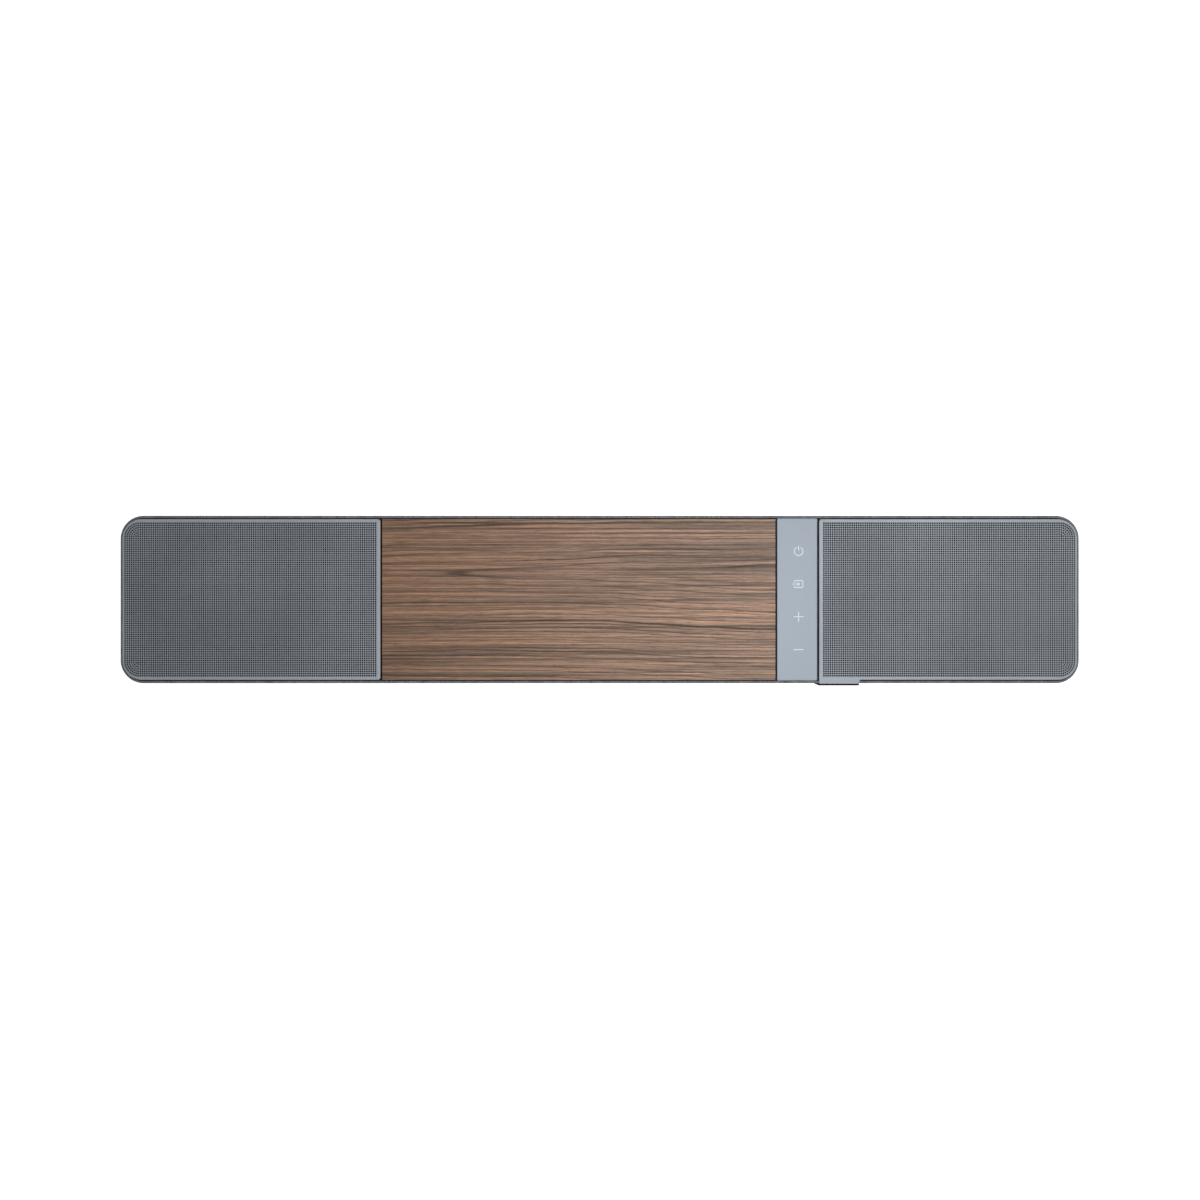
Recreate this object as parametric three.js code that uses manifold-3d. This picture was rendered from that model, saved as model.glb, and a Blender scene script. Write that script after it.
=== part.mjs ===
// A 28-inch class soundbar: a cloth-wrapped cabinet with two woofers facing up under perforated
// end grilles, two small drivers facing forward, and a wood panel and touch strip between the grilles.
// Units are millimetres. +X is the bar's right as seen from its front, +Y its rear, +Z up.
// The origin is on the table, under the middle of the bar.

import * as THREE from 'three';
import { mergeVertices } from 'three/addons/utils/BufferGeometryUtils.js';
import Module from 'manifold-3d';

const wasm = await Module();
wasm.setup();

// ---------------------------------------------------------------- sizes

// Cabinet
const bodyLength = 711.2;
const bodyDepth = 124.4;
const bodyTop = 78; // top of the panels above the table
const cornerRadius = 17;
const footHeight = 2.5; // rubber standing out below the base
const baseThickness = 3;
const baseInset = 0.4;
const shellWall = 3;
const ledgeWidth = 3;
const ledgeHeight = 3;
const dividerWall = 3; // walls between the woofer chambers and the middle bay

// Clearances
const skinGap = 0.3; // between the cloth and the shell
const fitGap = 0.3; // round a piece that passes through a hole
const deckGap = 0.4; // between the top deck and the shell
const boreGap = 0.5; // between a driver's basket and its hole

// Cloth
const clothThickness = 0.8;
const hemFront = 1.7; // cloth turned over the rim, front and rear
const hemEnd = 1.2; // and at the ends
const clothFoot = 0.7; // bare shell below the cloth

// Top panels
const panelEdge = 2.4; // depth of a panel's edge, from its top down to the shell's rim
const grilleSheet = 1;
const grilleGroove = 0.9; // from the hem to a grille, front and rear
const grilleEndGroove = 0.3;
const grilleCorner = 2; // the corners beside the middle panels
const woodLength = 291.9;
const woodCore = 3; // board below the panel's edge
const woodGroove = 0.8;
const stripWidth = 29.9;
const stripGroove = 0.4;
const gapGrilleWood = 1.2;
const gapWoodStrip = 1.1;
const gapStripGrille = 1.3;
const boardSheet = 1.6;

// Top deck
const deckThickness = 3;
const wellDepth = 13; // from the grille's sheet down to the deck
const stepWall = 3;

// Display
const windowProjection = 1.67; // in front of the cloth
const tabWidth = 30.1;
const tabOverhang = 0.35;
const windowLead = 3.2; // bevel on the window's left edge
const windowTrail = 0.6; // and on its right edge
const windowHeight = 44;
const lightNeckWidth = 21;
const lightNeckHeight = 19;

// Woofers
const wooferMargin = 5.7; // from the flange to the deck's edge
const flangeWidth = 6;
const flangeThickness = 2;
const rollRadius = 3.3;
const membrane = 0.6;
const coneDepth = 15;
const coilRadius = 12.7;
const basketDepth = 24;
const basketSeat = 31; // radius of the basket's back
const capMargin = 2.1; // from the coil to the dust cap's edge
const capGlue = 0.5; // bead between the cap and the cone
const magnetRadius = 40;
const magnetDepth = 18;

// Front drivers
const driverSpacing = 224;
const driverMargin = 0.75; // from the flange to the ledge and the floor
const baffleDepth = 6; // pad behind the shell's front wall
const driverMagnetRadius = 18;

// Bass ports
const portBore = 11;
const portWall = 2;
const portTrim = 16;
const portLength = 28;
const portHeight = 18; // centre above the floor

// Rear panel and sockets
const panelLength = 200;
const panelHeight = 34;
const panelRise = 6.5; // above the floor
const panelWall = 3;
const bayDepth = 6;
const bayFloor = 2;
const boardRise = 14.5; // boards above the floor
const boardDepth = 46;
const mainBoardLength = 100;
const powerBoardLength = 68;
const boardSplit = -18; // between the two boards

// Screws and feet
const screwRadius = 1.5;
const screwClearance = 0.3;
const headRadius = 3;
const headHeight = 1.6;
const bossRadius = 4;
const bossHeight = 6;
const footRadius = 11;
const footPocket = 0.8;

// Facets round a turned piece
const fineSides = 28;
const midSides = 20;
const smallSides = 12;

// ---------------------------------------------------------------- places worked out from the sizes

const yMid = windowProjection / 2;
const yFront = yMid - bodyDepth / 2;
const yRear = yMid + bodyDepth / 2;
const xEnd = bodyLength / 2;

const zBase = footHeight;
const zFloor = zBase + baseThickness;
const zRim = bodyTop - panelEdge;
const zPlateau = zRim - woodCore;
const zWell = bodyTop - grilleSheet - wellDepth;
const zDeck = zWell - deckThickness;
const zBoard = zFloor + boardRise;
const zBoardTop = zBoard + boardSheet;

const shellInset = clothThickness + skinGap;
const innerInset = shellInset + shellWall;
const deckInset = innerInset + deckGap;

const midSpan = gapGrilleWood + woodLength + gapWoodStrip + stripWidth + gapStripGrille;
const xGrille = midSpan / 2;
const xWood = -xGrille + gapGrilleWood;
const xStrip = xWood + woodLength + gapWoodStrip;
const xStep = xGrille + 2.3;
const xDivider = xGrille + 1.3;

const wooferFlange = bodyDepth / 2 - deckInset - wooferMargin;
const wooferBasket = wooferFlange - flangeWidth;
const xWoofer = (xStep + xEnd - deckInset) / 2;

const driverFlange = (zDeck - ledgeHeight - zFloor) / 2 - driverMargin;
const zDriver = (zDeck - ledgeHeight + zFloor) / 2;
const yBaffle = yFront + innerInset + baffleDepth;

const xPort = xDivider + dividerWall + portTrim + fitGap;
const zPort = zFloor + portHeight;

const zPanel = zFloor + panelRise;
const yBayFloor = yRear - bayDepth;
const screwHole = screwRadius + screwClearance;

// ---------------------------------------------------------------- materials

function finish(color, roughness, metalness) {
  return () => new THREE.MeshStandardMaterial({ color, roughness, metalness });
}

const blackPlastic = finish(0x26282b, 0.6, 0);
const clothWeave = finish(0x6b6f72, 0.95, 0);
const grilleSteel = finish(0x9aa0a8, 0.45, 0.6);
const walnut = finish(0x877162, 0.6, 0);
const greyPaint = finish(0xa8b1bb, 0.4, 0.3);
const smokedAcrylic = finish(0x101214, 0.12, 0);
const rubber = finish(0x1c1c1d, 0.9, 0);
const paper = finish(0x2a2a2c, 0.85, 0);
const ferrite = finish(0x3a3b3e, 0.6, 0.3);
const copper = finish(0xb06a3c, 0.4, 0.9);
const circuitBoard = finish(0x1e4a34, 0.6, 0);
const aluminium = finish(0xb4b8bc, 0.4, 0.9);
const zincSteel = finish(0x8c9094, 0.4, 0.9);

// ---------------------------------------------------------------- shapes and solids

// A closed geometry as a solid that can be cut and joined.
function solid(geometry) {
  const bare = geometry.clone();
  bare.deleteAttribute('normal');
  bare.deleteAttribute('uv');
  const merged = mergeVertices(bare, 1e-4);
  return new wasm.Manifold(new wasm.Mesh({
    numProp: 3,
    vertProperties: new Float32Array(merged.attributes.position.array),
    triVerts: new Uint32Array(merged.index.array),
  }));
}

function geometryOf(shape) {
  const mesh = shape.getMesh();
  const geometry = new THREE.BufferGeometry();
  geometry.setAttribute('position', new THREE.BufferAttribute(mesh.vertProperties, 3));
  geometry.setIndex(new THREE.BufferAttribute(mesh.triVerts, 1));
  geometry.computeVertexNormals();
  return geometry;
}

function join(...shapes) {
  return shapes.reduce((whole, next) => whole.add(next));
}

function cut(shape, ...tools) {
  return tools.reduce((left, tool) => left.subtract(tool), shape);
}

// A rectangle with its own radius at each corner, from front left round to rear left.
function rounded(x0, x1, y0, y1, radii) {
  const [frontLeft, frontRight, rearRight, rearLeft] = radii;
  const shape = new THREE.Shape();
  shape.moveTo(x0 + frontLeft, y0);
  shape.lineTo(x1 - frontRight, y0);
  if (frontRight > 0) shape.absarc(x1 - frontRight, y0 + frontRight, frontRight, -Math.PI / 2, 0);
  shape.lineTo(x1, y1 - rearRight);
  if (rearRight > 0) shape.absarc(x1 - rearRight, y1 - rearRight, rearRight, 0, Math.PI / 2);
  shape.lineTo(x0 + rearLeft, y1);
  if (rearLeft > 0) shape.absarc(x0 + rearLeft, y1 - rearLeft, rearLeft, Math.PI / 2, Math.PI);
  shape.lineTo(x0, y0 + frontLeft);
  if (frontLeft > 0) shape.absarc(x0 + frontLeft, y0 + frontLeft, frontLeft, Math.PI, 1.5 * Math.PI);
  return shape;
}

// The bar's outline, drawn in by one distance at the ends and another at the front and rear.
function outline(endInset, sideInset = endInset) {
  const radius = cornerRadius - Math.max(endInset, sideInset);
  const x = xEnd - endInset;
  return rounded(-x, x, yFront + sideInset, yRear - sideInset, [radius, radius, radius, radius]);
}

function slab(shape, z0, z1) {
  const geometry = new THREE.ExtrudeGeometry(shape, {
    depth: z1 - z0,
    bevelEnabled: false,
    curveSegments: 4,
  });
  return solid(geometry.translate(0, 0, z0));
}

function block(x0, x1, y0, y1, z0, z1) {
  const geometry = new THREE.BoxGeometry(x1 - x0, y1 - y0, z1 - z0);
  return solid(geometry.translate((x0 + x1) / 2, (y0 + y1) / 2, (z0 + z1) / 2));
}

// A round bar along Z.
function post(x, y, z0, z1, radius, sides = smallSides) {
  const geometry = new THREE.CylinderGeometry(radius, radius, z1 - z0, sides);
  return solid(geometry.rotateX(Math.PI / 2).translate(x, y, (z0 + z1) / 2));
}

// A round bar along Y.
function pin(x, z, y0, y1, radius, sides = smallSides) {
  const geometry = new THREE.CylinderGeometry(radius, radius, y1 - y0, sides);
  return solid(geometry.translate(x, (y0 + y1) / 2, z));
}

// A profile of [radius, height] points turned about Z, with the material on the left of its path.
function turned(profile, sides) {
  const points = profile.map(([radius, height]) => new THREE.Vector2(radius, height));
  const onAxis = profile[0][0] === 0;
  if (!onAxis) points.push(points[0].clone());
  return solid(new THREE.LatheGeometry(points, sides).rotateX(Math.PI / 2));
}

// Points on an arc in a profile, in degrees.
function arc(radius, height, size, from, to, steps) {
  return Array.from({ length: steps + 1 }, (_, i) => {
    const angle = THREE.MathUtils.degToRad(from + (to - from) * i / steps);
    return [radius + size * Math.cos(angle), height + size * Math.sin(angle)];
  });
}

const soundbar = new THREE.Group();

function add(name, shape, material, parent = soundbar) {
  const mesh = new THREE.Mesh(geometryOf(shape), material());
  mesh.name = name;
  parent.add(mesh);
  return mesh;
}

// ---------------------------------------------------------------- base, screws and feet

const footX = xEnd - 45;
const footY = bodyDepth / 2 - 20;
const footPlaces = [
  ['front_left', -footX, yMid - footY],
  ['front_right', footX, yMid - footY],
  ['rear_left', -footX, yMid + footY],
  ['rear_right', footX, yMid + footY],
];

const bossX = xEnd - 22;
const bossY = bodyDepth / 2 - innerInset - bossRadius + 1;
const baseScrewPlaces = [
  ['front_left', -bossX, yMid - bossY],
  ['front_middle', 0, yMid - bossY],
  ['front_right', bossX, yMid - bossY],
  ['rear_left', -bossX, yMid + bossY],
  ['rear_middle', 0, yMid + bossY],
  ['rear_right', bossX, yMid + bossY],
];

const yBoardRear = yBayFloor - bayFloor - fitGap;
const yBoardFront = yBoardRear - boardDepth;
const boards = {
  power: [boardSplit - powerBoardLength, boardSplit],
  main: [boardSplit + 4, boardSplit + 4 + mainBoardLength],
};

function boardPosts() {
  const edge = 5;
  const posts = [];
  for (const [x0, x1] of Object.values(boards)) {
    for (const x of [x0 + edge, x1 - edge]) {
      for (const y of [yBoardFront + edge, yBoardRear - 10 - edge]) {
        posts.push(post(x, y, zFloor - 1, zBoard, 3, 8));
      }
    }
  }
  return posts;
}

const headSeat = zBase + headHeight + 0.2;

function basePlate() {
  const plate = join(slab(outline(baseInset), zBase, zFloor), ...boardPosts());
  const pockets = footPlaces.map(([, x, y]) =>
    post(x, y, zBase - 1, zBase + footPocket, footRadius + fitGap, midSides));
  const holes = baseScrewPlaces.flatMap(([, x, y]) => [
    post(x, y, zBase - 1, zFloor + 1, screwHole),
    post(x, y, zBase - 1, headSeat, headRadius + fitGap),
  ]);
  return cut(plate, ...pockets, ...holes);
}

function foot() {
  const top = footHeight + footPocket;
  const chamfer = 0.6;
  return turned([
    [0, 0], [footRadius - chamfer, 0], [footRadius, chamfer], [footRadius, top], [0, top],
  ], midSides);
}

// A pan-head screw along +Z, its head's seat at zero.
function screw(length) {
  return turned([
    [0, -headHeight], [headRadius - 0.7, -headHeight], [headRadius, -headHeight + 0.7], [headRadius, 0],
    [screwRadius, 0], [screwRadius, length - 1], [0, length],
  ], smallSides);
}

add('base_plate', basePlate(), blackPlastic);
for (const [place, x, y] of footPlaces) {
  add(`foot_${place}`, foot(), rubber).position.set(x, y, 0);
}
for (const [place, x, y] of baseScrewPlaces) {
  add(`base_screw_${place}`, screw(bossHeight), zincSteel).position.set(x, y, headSeat);
}

// ---------------------------------------------------------------- cabinet shell

const lugDepth = 8;
const lugSize = 8;
const panelScrewX = panelLength / 2 - panelWall - headRadius - 1;
const panelScrewZ = [zPanel + panelWall + headRadius + 1, zPanel + panelHeight - panelWall - headRadius - 1];

// Four lugs behind the rear panel's floor, for its screws.
function panelLugs() {
  const y1 = yBayFloor - bayFloor;
  const lugs = [];
  for (const side of [-1, 1]) {
    const inner = side * (panelScrewX - lugSize / 2);
    const outer = side * (panelLength / 2 + fitGap + lugSize / 2);
    const wall = side * (panelLength / 2 + fitGap);
    for (const z of panelScrewZ) {
      const [x0, x1] = [Math.min(inner, outer), Math.max(inner, outer)];
      const [w0, w1] = [Math.min(wall, outer), Math.max(wall, outer)];
      const low = z - lugSize / 2;
      const high = z + lugSize / 2;
      lugs.push(block(x0, x1, y1 - lugDepth, y1, low, high));
      lugs.push(block(w0, w1, y1 - lugDepth, yRear - innerInset + 1, low, high));
    }
  }
  return lugs;
}

function panelScrewHoles(y0, y1) {
  return [-1, 1].flatMap((side) => panelScrewZ.map((z) => pin(side * panelScrewX, z, y0, y1, screwHole)));
}

const neckX = xGrille + tabWidth / 2 + 1.5;
const neckTop = zDeck - ledgeHeight - 2;

// The window's light neck, or the hole for it when a clearance is given.
function lightNeck(y0, y1, clearance) {
  const x = lightNeckWidth / 2 + clearance;
  return block(neckX - x, neckX + x, y0, y1, neckTop - lightNeckHeight - clearance, neckTop + clearance);
}

function panelWindow(y0, y1) {
  const x = panelLength / 2 + fitGap;
  return block(-x, x, y0, y1, zPanel - fitGap, zPanel + panelHeight + fitGap);
}

function portHoles(y0, y1, radius) {
  return [-xPort, xPort].map((x) => pin(x, zPort, y0, y1, radius, midSides));
}

function cabinetShell() {
  const wall = cut(
    slab(outline(shellInset), zFloor, zRim),
    slab(outline(innerInset), zFloor - 1, zRim + 1),
  );
  const ledge = cut(
    slab(outline(innerInset - 1), zDeck - ledgeHeight, zDeck),
    slab(outline(innerInset + ledgeWidth), zDeck - ledgeHeight - 1, zDeck + 1),
  );
  const dividers = [-1, 1].map((side) => {
    const near = side * xDivider;
    const far = side * (xDivider + dividerWall);
    const y = bodyDepth / 2 - innerInset + 1;
    return block(Math.min(near, far), Math.max(near, far), yMid - y, yMid + y, zFloor, zDeck);
  });
  const half = driverFlange + 0.5;
  const pads = [-1, 1].map((side) => {
    const x = side * driverSpacing / 2;
    return block(x - half, x + half, yFront + innerInset - 1, yBaffle, zDriver - half, zDriver + half);
  });
  const driverHoles = [-1, 1].map((side) =>
    pin(side * driverSpacing / 2, zDriver, yFront, yBaffle + 1, driverFlange - 3, midSides));
  const bosses = baseScrewPlaces.map(([, x, y]) => post(x, y, zFloor, zFloor + bossHeight, bossRadius));
  const bossHoles = baseScrewPlaces.map(([, x, y]) =>
    post(x, y, zFloor - 1, zFloor + bossHeight + 1, screwHole));
  return cut(
    join(wall, ledge, ...dividers, ...pads, ...bosses, ...panelLugs()),
    ...driverHoles,
    ...bossHoles,
    ...portHoles(yRear - innerInset - 1, yRear, portBore + portWall + fitGap),
    panelWindow(yBayFloor - bayFloor, yRear),
    ...panelScrewHoles(yBayFloor - bayFloor - lugDepth - 1, yBayFloor),
    lightNeck(yFront, yFront + innerInset + 1, fitGap),
  );
}

add('cabinet_shell', cabinetShell(), blackPlastic);

// ---------------------------------------------------------------- cloth

function clothWrap() {
  const foot = zFloor + clothFoot;
  const hem = zRim + skinGap;
  const top = hem + clothThickness;
  return cut(
    slab(outline(0), foot, top),
    slab(outline(clothThickness), foot - 1, hem),
    slab(outline(hemEnd, hemFront), hem - 1, top + 1),
    panelWindow(yRear - clothThickness - 1, yRear + 1),
    ...portHoles(yRear - clothThickness - 1, yRear + 1, portTrim + fitGap),
    lightNeck(yFront - 1, yFront + clothThickness + 1, fitGap),
  );
}

add('fabric_wrap', clothWrap(), clothWeave);

// ---------------------------------------------------------------- top deck and panels

function topDeck() {
  const y0 = yFront + deckInset;
  const y1 = yRear - deckInset;
  const plate = slab(outline(deckInset), zDeck, zWell);
  const plateau = block(-xStep, xStep, y0, y1, zDeck, zPlateau);
  const ribs = [-1, 1].map((side) => {
    const near = side * (xGrille + 0.5);
    const far = side * xStep;
    return block(Math.min(near, far), Math.max(near, far), y0, y1, zPlateau - 1, zRim);
  });
  const hollowX = xStep - stepWall;
  const hollow = block(-hollowX, hollowX, y0 + stepWall, y1 - stepWall, zDeck - 1, zPlateau - deckThickness);
  const holes = [-xWoofer, xWoofer].map((x) =>
    post(x, yMid, zDeck - 1, zWell + 1, wooferBasket + boreGap, fineSides));
  const cableSlot = block(xStrip + 6, xStrip + stripWidth - 6, yMid + 20, yMid + 26, zDeck, zPlateau + 1);
  return cut(join(plate, plateau, ...ribs), hollow, ...holes, cableSlot);
}

add('top_deck', topDeck(), blackPlastic);

// One end grille: a sheet with its edges turned down. The right one has a tab over the front edge.
function endGrille(side) {
  const sideInset = hemFront + grilleGroove;
  const endInset = hemEnd + grilleEndGroove;
  const radius = cornerRadius - sideInset;
  const edge = (inset) => {
    const inner = side * (xGrille + inset);
    const outer = side * (xEnd - endInset - inset);
    const near = Math.max(grilleCorner - inset, 0.5);
    const far = radius - inset;
    const radii = side > 0 ? [near, far, far, near] : [far, near, near, far];
    const x = [Math.min(inner, outer), Math.max(inner, outer)];
    return rounded(...x, yFront + sideInset + inset, yRear - sideInset - inset, radii);
  };
  const pan = cut(slab(edge(0), zRim, bodyTop), slab(edge(grilleSheet), zRim - 1, bodyTop - grilleSheet));
  if (side < 0) return pan;
  const tab = block(
    xGrille, xGrille + tabWidth,
    yFront - tabOverhang, yFront + sideInset + grilleCorner + 1,
    bodyTop - grilleSheet, bodyTop,
  );
  return join(pan, tab);
}

add('left_top_grille', endGrille(-1), grilleSteel);
add('right_top_grille', endGrille(1), grilleSteel);

function woodPanel() {
  const inset = hemFront + woodGroove;
  const edge = block(xWood, xWood + woodLength, yFront + inset, yRear - inset, zRim, bodyTop);
  const coreX = 2;
  const coreY = deckInset;
  const core = block(
    xWood + coreX, xWood + woodLength - coreX, yFront + coreY, yRear - coreY, zPlateau, zRim + 1,
  );
  return join(edge, core);
}

add('wood_panel', woodPanel(), walnut);

const stripInset = hemFront + stripGroove;
add('touch_strip',
  block(xStrip, xStrip + stripWidth, yFront + stripInset, yRear - stripInset, zRim, bodyTop), greyPaint);

function touchBoard() {
  const edge = 2.5;
  const y = bodyDepth / 2 - 12;
  const sheet = block(
    xStrip + edge, xStrip + stripWidth - edge, yMid - y, yMid + y, zRim - boardSheet, zRim,
  );
  const chip = block(xStrip + 10, xStrip + 17, yMid - 4, yMid + 4, zRim - boardSheet - 0.9, zRim - 0.5);
  return join(sheet, chip);
}

add('touch_board', touchBoard(), circuitBoard);

// ---------------------------------------------------------------- display

function displayWindow() {
  const front = yFront - windowProjection;
  const back = yFront - skinGap;
  const shape = new THREE.Shape([
    new THREE.Vector2(xGrille - windowLead, back),
    new THREE.Vector2(xGrille, front),
    new THREE.Vector2(xGrille + tabWidth - windowTrail, front),
    new THREE.Vector2(xGrille + tabWidth, back),
  ]);
  const top = bodyTop - grilleSheet - skinGap;
  const face = slab(shape, top - windowHeight, top);
  return join(face, lightNeck(back - 0.5, yFront + innerInset, 0));
}

function displayBoard() {
  const x = lightNeckWidth / 2 + 1.2;
  const y = yFront + innerInset + fitGap;
  const sheet = block(
    neckX - x, neckX + x, y, y + boardSheet, neckTop - lightNeckHeight - 2, neckTop + 1,
  );
  const plug = block(neckX - 4, neckX + 4, y + 1, y + boardSheet + 4, neckTop - 12, neckTop - 7);
  return join(sheet, plug);
}

add('display_window', displayWindow(), smokedAcrylic);
add('display_board', displayBoard(), circuitBoard);

// ---------------------------------------------------------------- woofers

// A half-round roll between two radii, with a flat glue edge outside it.
function surround(inner, size, edge, sides) {
  const centre = inner + size;
  return turned([
    [centre + size - membrane, 0],
    [edge, 0],
    [edge, membrane],
    ...arc(centre, membrane / 2, size, 10, 180, 4),
    ...arc(centre, membrane / 2, size - membrane, 180, 12, 4),
  ], sides);
}

// The radius or height at one place on a straight line between two points of a profile.
function between(from, to, place) {
  return from[1] + (to[1] - from[1]) * (place - from[0]) / (to[0] - from[0]);
}

const basketInner = wooferBasket - 2.5;
const basketShoulder = -4.5; // where the basket's wall starts to slope
const basketFloor = -basketDepth + 2;

function wooferBasketSolid() {
  const rim = wooferBasket;
  const frame = turned([
    [16, -basketDepth], [basketSeat, -basketDepth], [rim, -4], [rim, 0], [wooferFlange, 0],
    [wooferFlange, flangeThickness], [basketInner, flangeThickness], [basketInner, basketShoulder],
    [basketSeat - 2, basketFloor], [16, basketFloor],
  ], fineSides);
  const windows = [0, 1, 2, 3].map((quarter) => {
    const side = new THREE.BoxGeometry(rim, 26, basketDepth - 10);
    side.translate(basketSeat - 4 + rim / 2, 0, 1 - basketDepth / 2);
    return solid(side.rotateZ((quarter + 0.5) * Math.PI / 2));
  });
  return cut(frame, ...windows);
}

// Back plate, ring magnet, top plate and pole, with the gap that the coil moves in.
function magnetSolid(top, depth, radius, coil, pole, plate, groove, sides) {
  const ring = 4;
  return turned([
    [0, top - depth], [radius - ring, top - depth], [radius - ring, top - depth + ring],
    [radius, top - depth + ring], [radius, top - ring], [radius - ring, top - ring], [radius - ring, top],
    [coil + plate, top], [coil + plate, top - groove], [coil - pole, top - groove], [coil - pole, top],
    [0, top],
  ], sides);
}

function spiderSolid() {
  const waves = 2;
  const inner = coilRadius + 0.8;
  const level = -basketDepth + 4;
  const wall = between([basketFloor, basketSeat - 2], [basketShoulder, basketInner], level - membrane);
  const outer = wall - fitGap;
  const upper = [];
  const lower = [];
  for (let i = 0; i <= 2 * waves; i += 1) {
    const radius = inner + (outer - inner) * i / (2 * waves);
    const height = level + (i % 2 === 0 ? -0.6 : 0.6);
    lower.push([radius, height]);
    upper.unshift([radius, height + membrane]);
  }
  return turned([...lower, ...upper], midSides);
}

function woofer(name, x) {
  const unit = new THREE.Group();
  unit.position.set(x, yMid, zWell);
  soundbar.add(unit);
  const rollInner = wooferBasket - 2.1 - 2 * rollRadius;
  const coneRim = rollInner - fitGap;
  const neck = coilRadius + 0.7;
  const neckHeight = flangeThickness - coneDepth;
  const capRadius = coilRadius + capMargin;
  const capSeat = between([neck, neckHeight + 0.2], [coneRim - 0.8, flangeThickness], capRadius) + capGlue;
  add(`${name}_basket`, wooferBasketSolid(), blackPlastic, unit);
  add(`${name}_magnet`,
    magnetSolid(-basketDepth, magnetDepth, magnetRadius, coilRadius, 1.1, 1.3, 13, midSides),
    ferrite, unit);
  const roll = surround(rollInner, rollRadius, wooferBasket + 1, fineSides);
  add(`${name}_surround`, roll.translate([0, 0, flangeThickness]), rubber, unit);
  add(`${name}_cone`, turned([
    [neck, neckHeight - 1], [coneRim, flangeThickness - 0.8], [coneRim, flangeThickness],
    [coneRim - 0.8, flangeThickness], [neck, neckHeight + 0.2],
  ], fineSides), paper, unit);
  add(`${name}_dust_cap`, turned([
    [0, capSeat + 4.1], [capRadius - 6.8, capSeat + 3], [capRadius - 0.8, capSeat], [capRadius, capSeat],
    [capRadius - 6.5, capSeat + 3.8], [0, capSeat + 4.9],
  ], midSides), paper, unit);
  add(`${name}_voice_coil`, turned([
    [coilRadius - 0.4, neckHeight - 18], [coilRadius + 0.4, neckHeight - 18],
    [coilRadius + 0.4, neckHeight + 1], [coilRadius - 0.4, neckHeight + 1],
  ], midSides), copper, unit);
  add(`${name}_spider`, spiderSolid(), clothWeave, unit);
}

woofer('left_woofer', -xWoofer);
woofer('right_woofer', xWoofer);

// ---------------------------------------------------------------- front drivers

function frontDriver(name, x) {
  const unit = new THREE.Group();
  unit.position.set(x, yBaffle + fitGap, zDriver);
  unit.rotation.x = Math.PI / 2;
  soundbar.add(unit);
  const flange = driverFlange;
  const rim = flange - 4.5;
  const bore = rim - 1.8;
  const roll = 2.1;
  const coil = 7.4;
  const coneRim = bore - 0.2 - 2 * roll - fitGap;
  add(`${name}_basket`, turned([
    [9, -16], [18, -16], [rim, -5], [rim, -2], [flange, -2], [flange, 0], [bore, 0], [bore, -4.5],
    [16.5, -14.5], [9, -14.5],
  ], midSides), blackPlastic, unit);
  add(`${name}_magnet`, magnetSolid(-16, 14, driverMagnetRadius, coil, 1, 1.2, 10, midSides), ferrite, unit);
  add(`${name}_surround`, surround(coneRim + fitGap, roll, rim - 0.3, midSides), rubber, unit);
  add(`${name}_cone`, turned([
    [0, -4.6], [6.2, -6.5], [coil - 0.4, -7.3], [coil - 0.4, -21], [coil + 0.4, -21], [coil + 0.4, -7.4],
    [coneRim, -1], [coneRim, 0], [coneRim - 0.7, 0], [coil, -6.4], [6.4, -5.7], [0, -3.8],
  ], midSides), paper, unit);
}

frontDriver('left_driver', -driverSpacing / 2);
frontDriver('right_driver', driverSpacing / 2);

// ---------------------------------------------------------------- bass ports

function bassPort(name, x) {
  const outer = portBore + portWall;
  const port = turned([
    [portBore, -portLength], [outer, -portLength], [outer, -clothThickness], [portTrim, -clothThickness],
    [portTrim, 0], [portBore + 2.8, 0], [portBore + 1, -2], [portBore, -5],
  ], midSides);
  const mesh = add(name, port, blackPlastic);
  mesh.rotation.x = -Math.PI / 2;
  mesh.position.set(x, yRear, zPort);
}

bassPort('left_bass_port', -xPort);
bassPort('right_bass_port', xPort);

// ---------------------------------------------------------------- rear panel and sockets

// Each socket: its middle along the bar, outer width and height, mouth width and height, and depth.
const sockets = {
  power: { x: -72, width: 24, height: 14, mouthWidth: 17.4, mouthHeight: 8.6, mouthDepth: 13, depth: 20 },
  line: { x: 2, width: 9, height: 9, depth: 14 },
  usb: { x: 26, width: 14.6, height: 7.2, mouthWidth: 12.5, mouthHeight: 5.2, mouthDepth: 12, depth: 15 },
  optical: { x: 50, width: 12.6, height: 12.6, mouthWidth: 9.8, mouthHeight: 9.8, mouthDepth: 12, depth: 14 },
  av: { x: 76, width: 16.2, height: 6.8, mouthWidth: 14.2, mouthHeight: 4.8, mouthDepth: 10, depth: 13 },
};

function socketBlock(socket, clearance = 0, y0 = yBayFloor - socket.depth, y1 = yBayFloor) {
  const x = socket.width / 2 + clearance;
  const z0 = zBoardTop - clearance;
  return block(socket.x - x, socket.x + x, y0, y1, z0, zBoardTop + socket.height + clearance);
}

function socketMouth(socket) {
  const x = socket.mouthWidth / 2;
  const z = zBoardTop + socket.height / 2;
  const half = socket.mouthHeight / 2;
  return block(socket.x - x, socket.x + x, yBayFloor - socket.mouthDepth, yBayFloor + 1, z - half, z + half);
}

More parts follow.
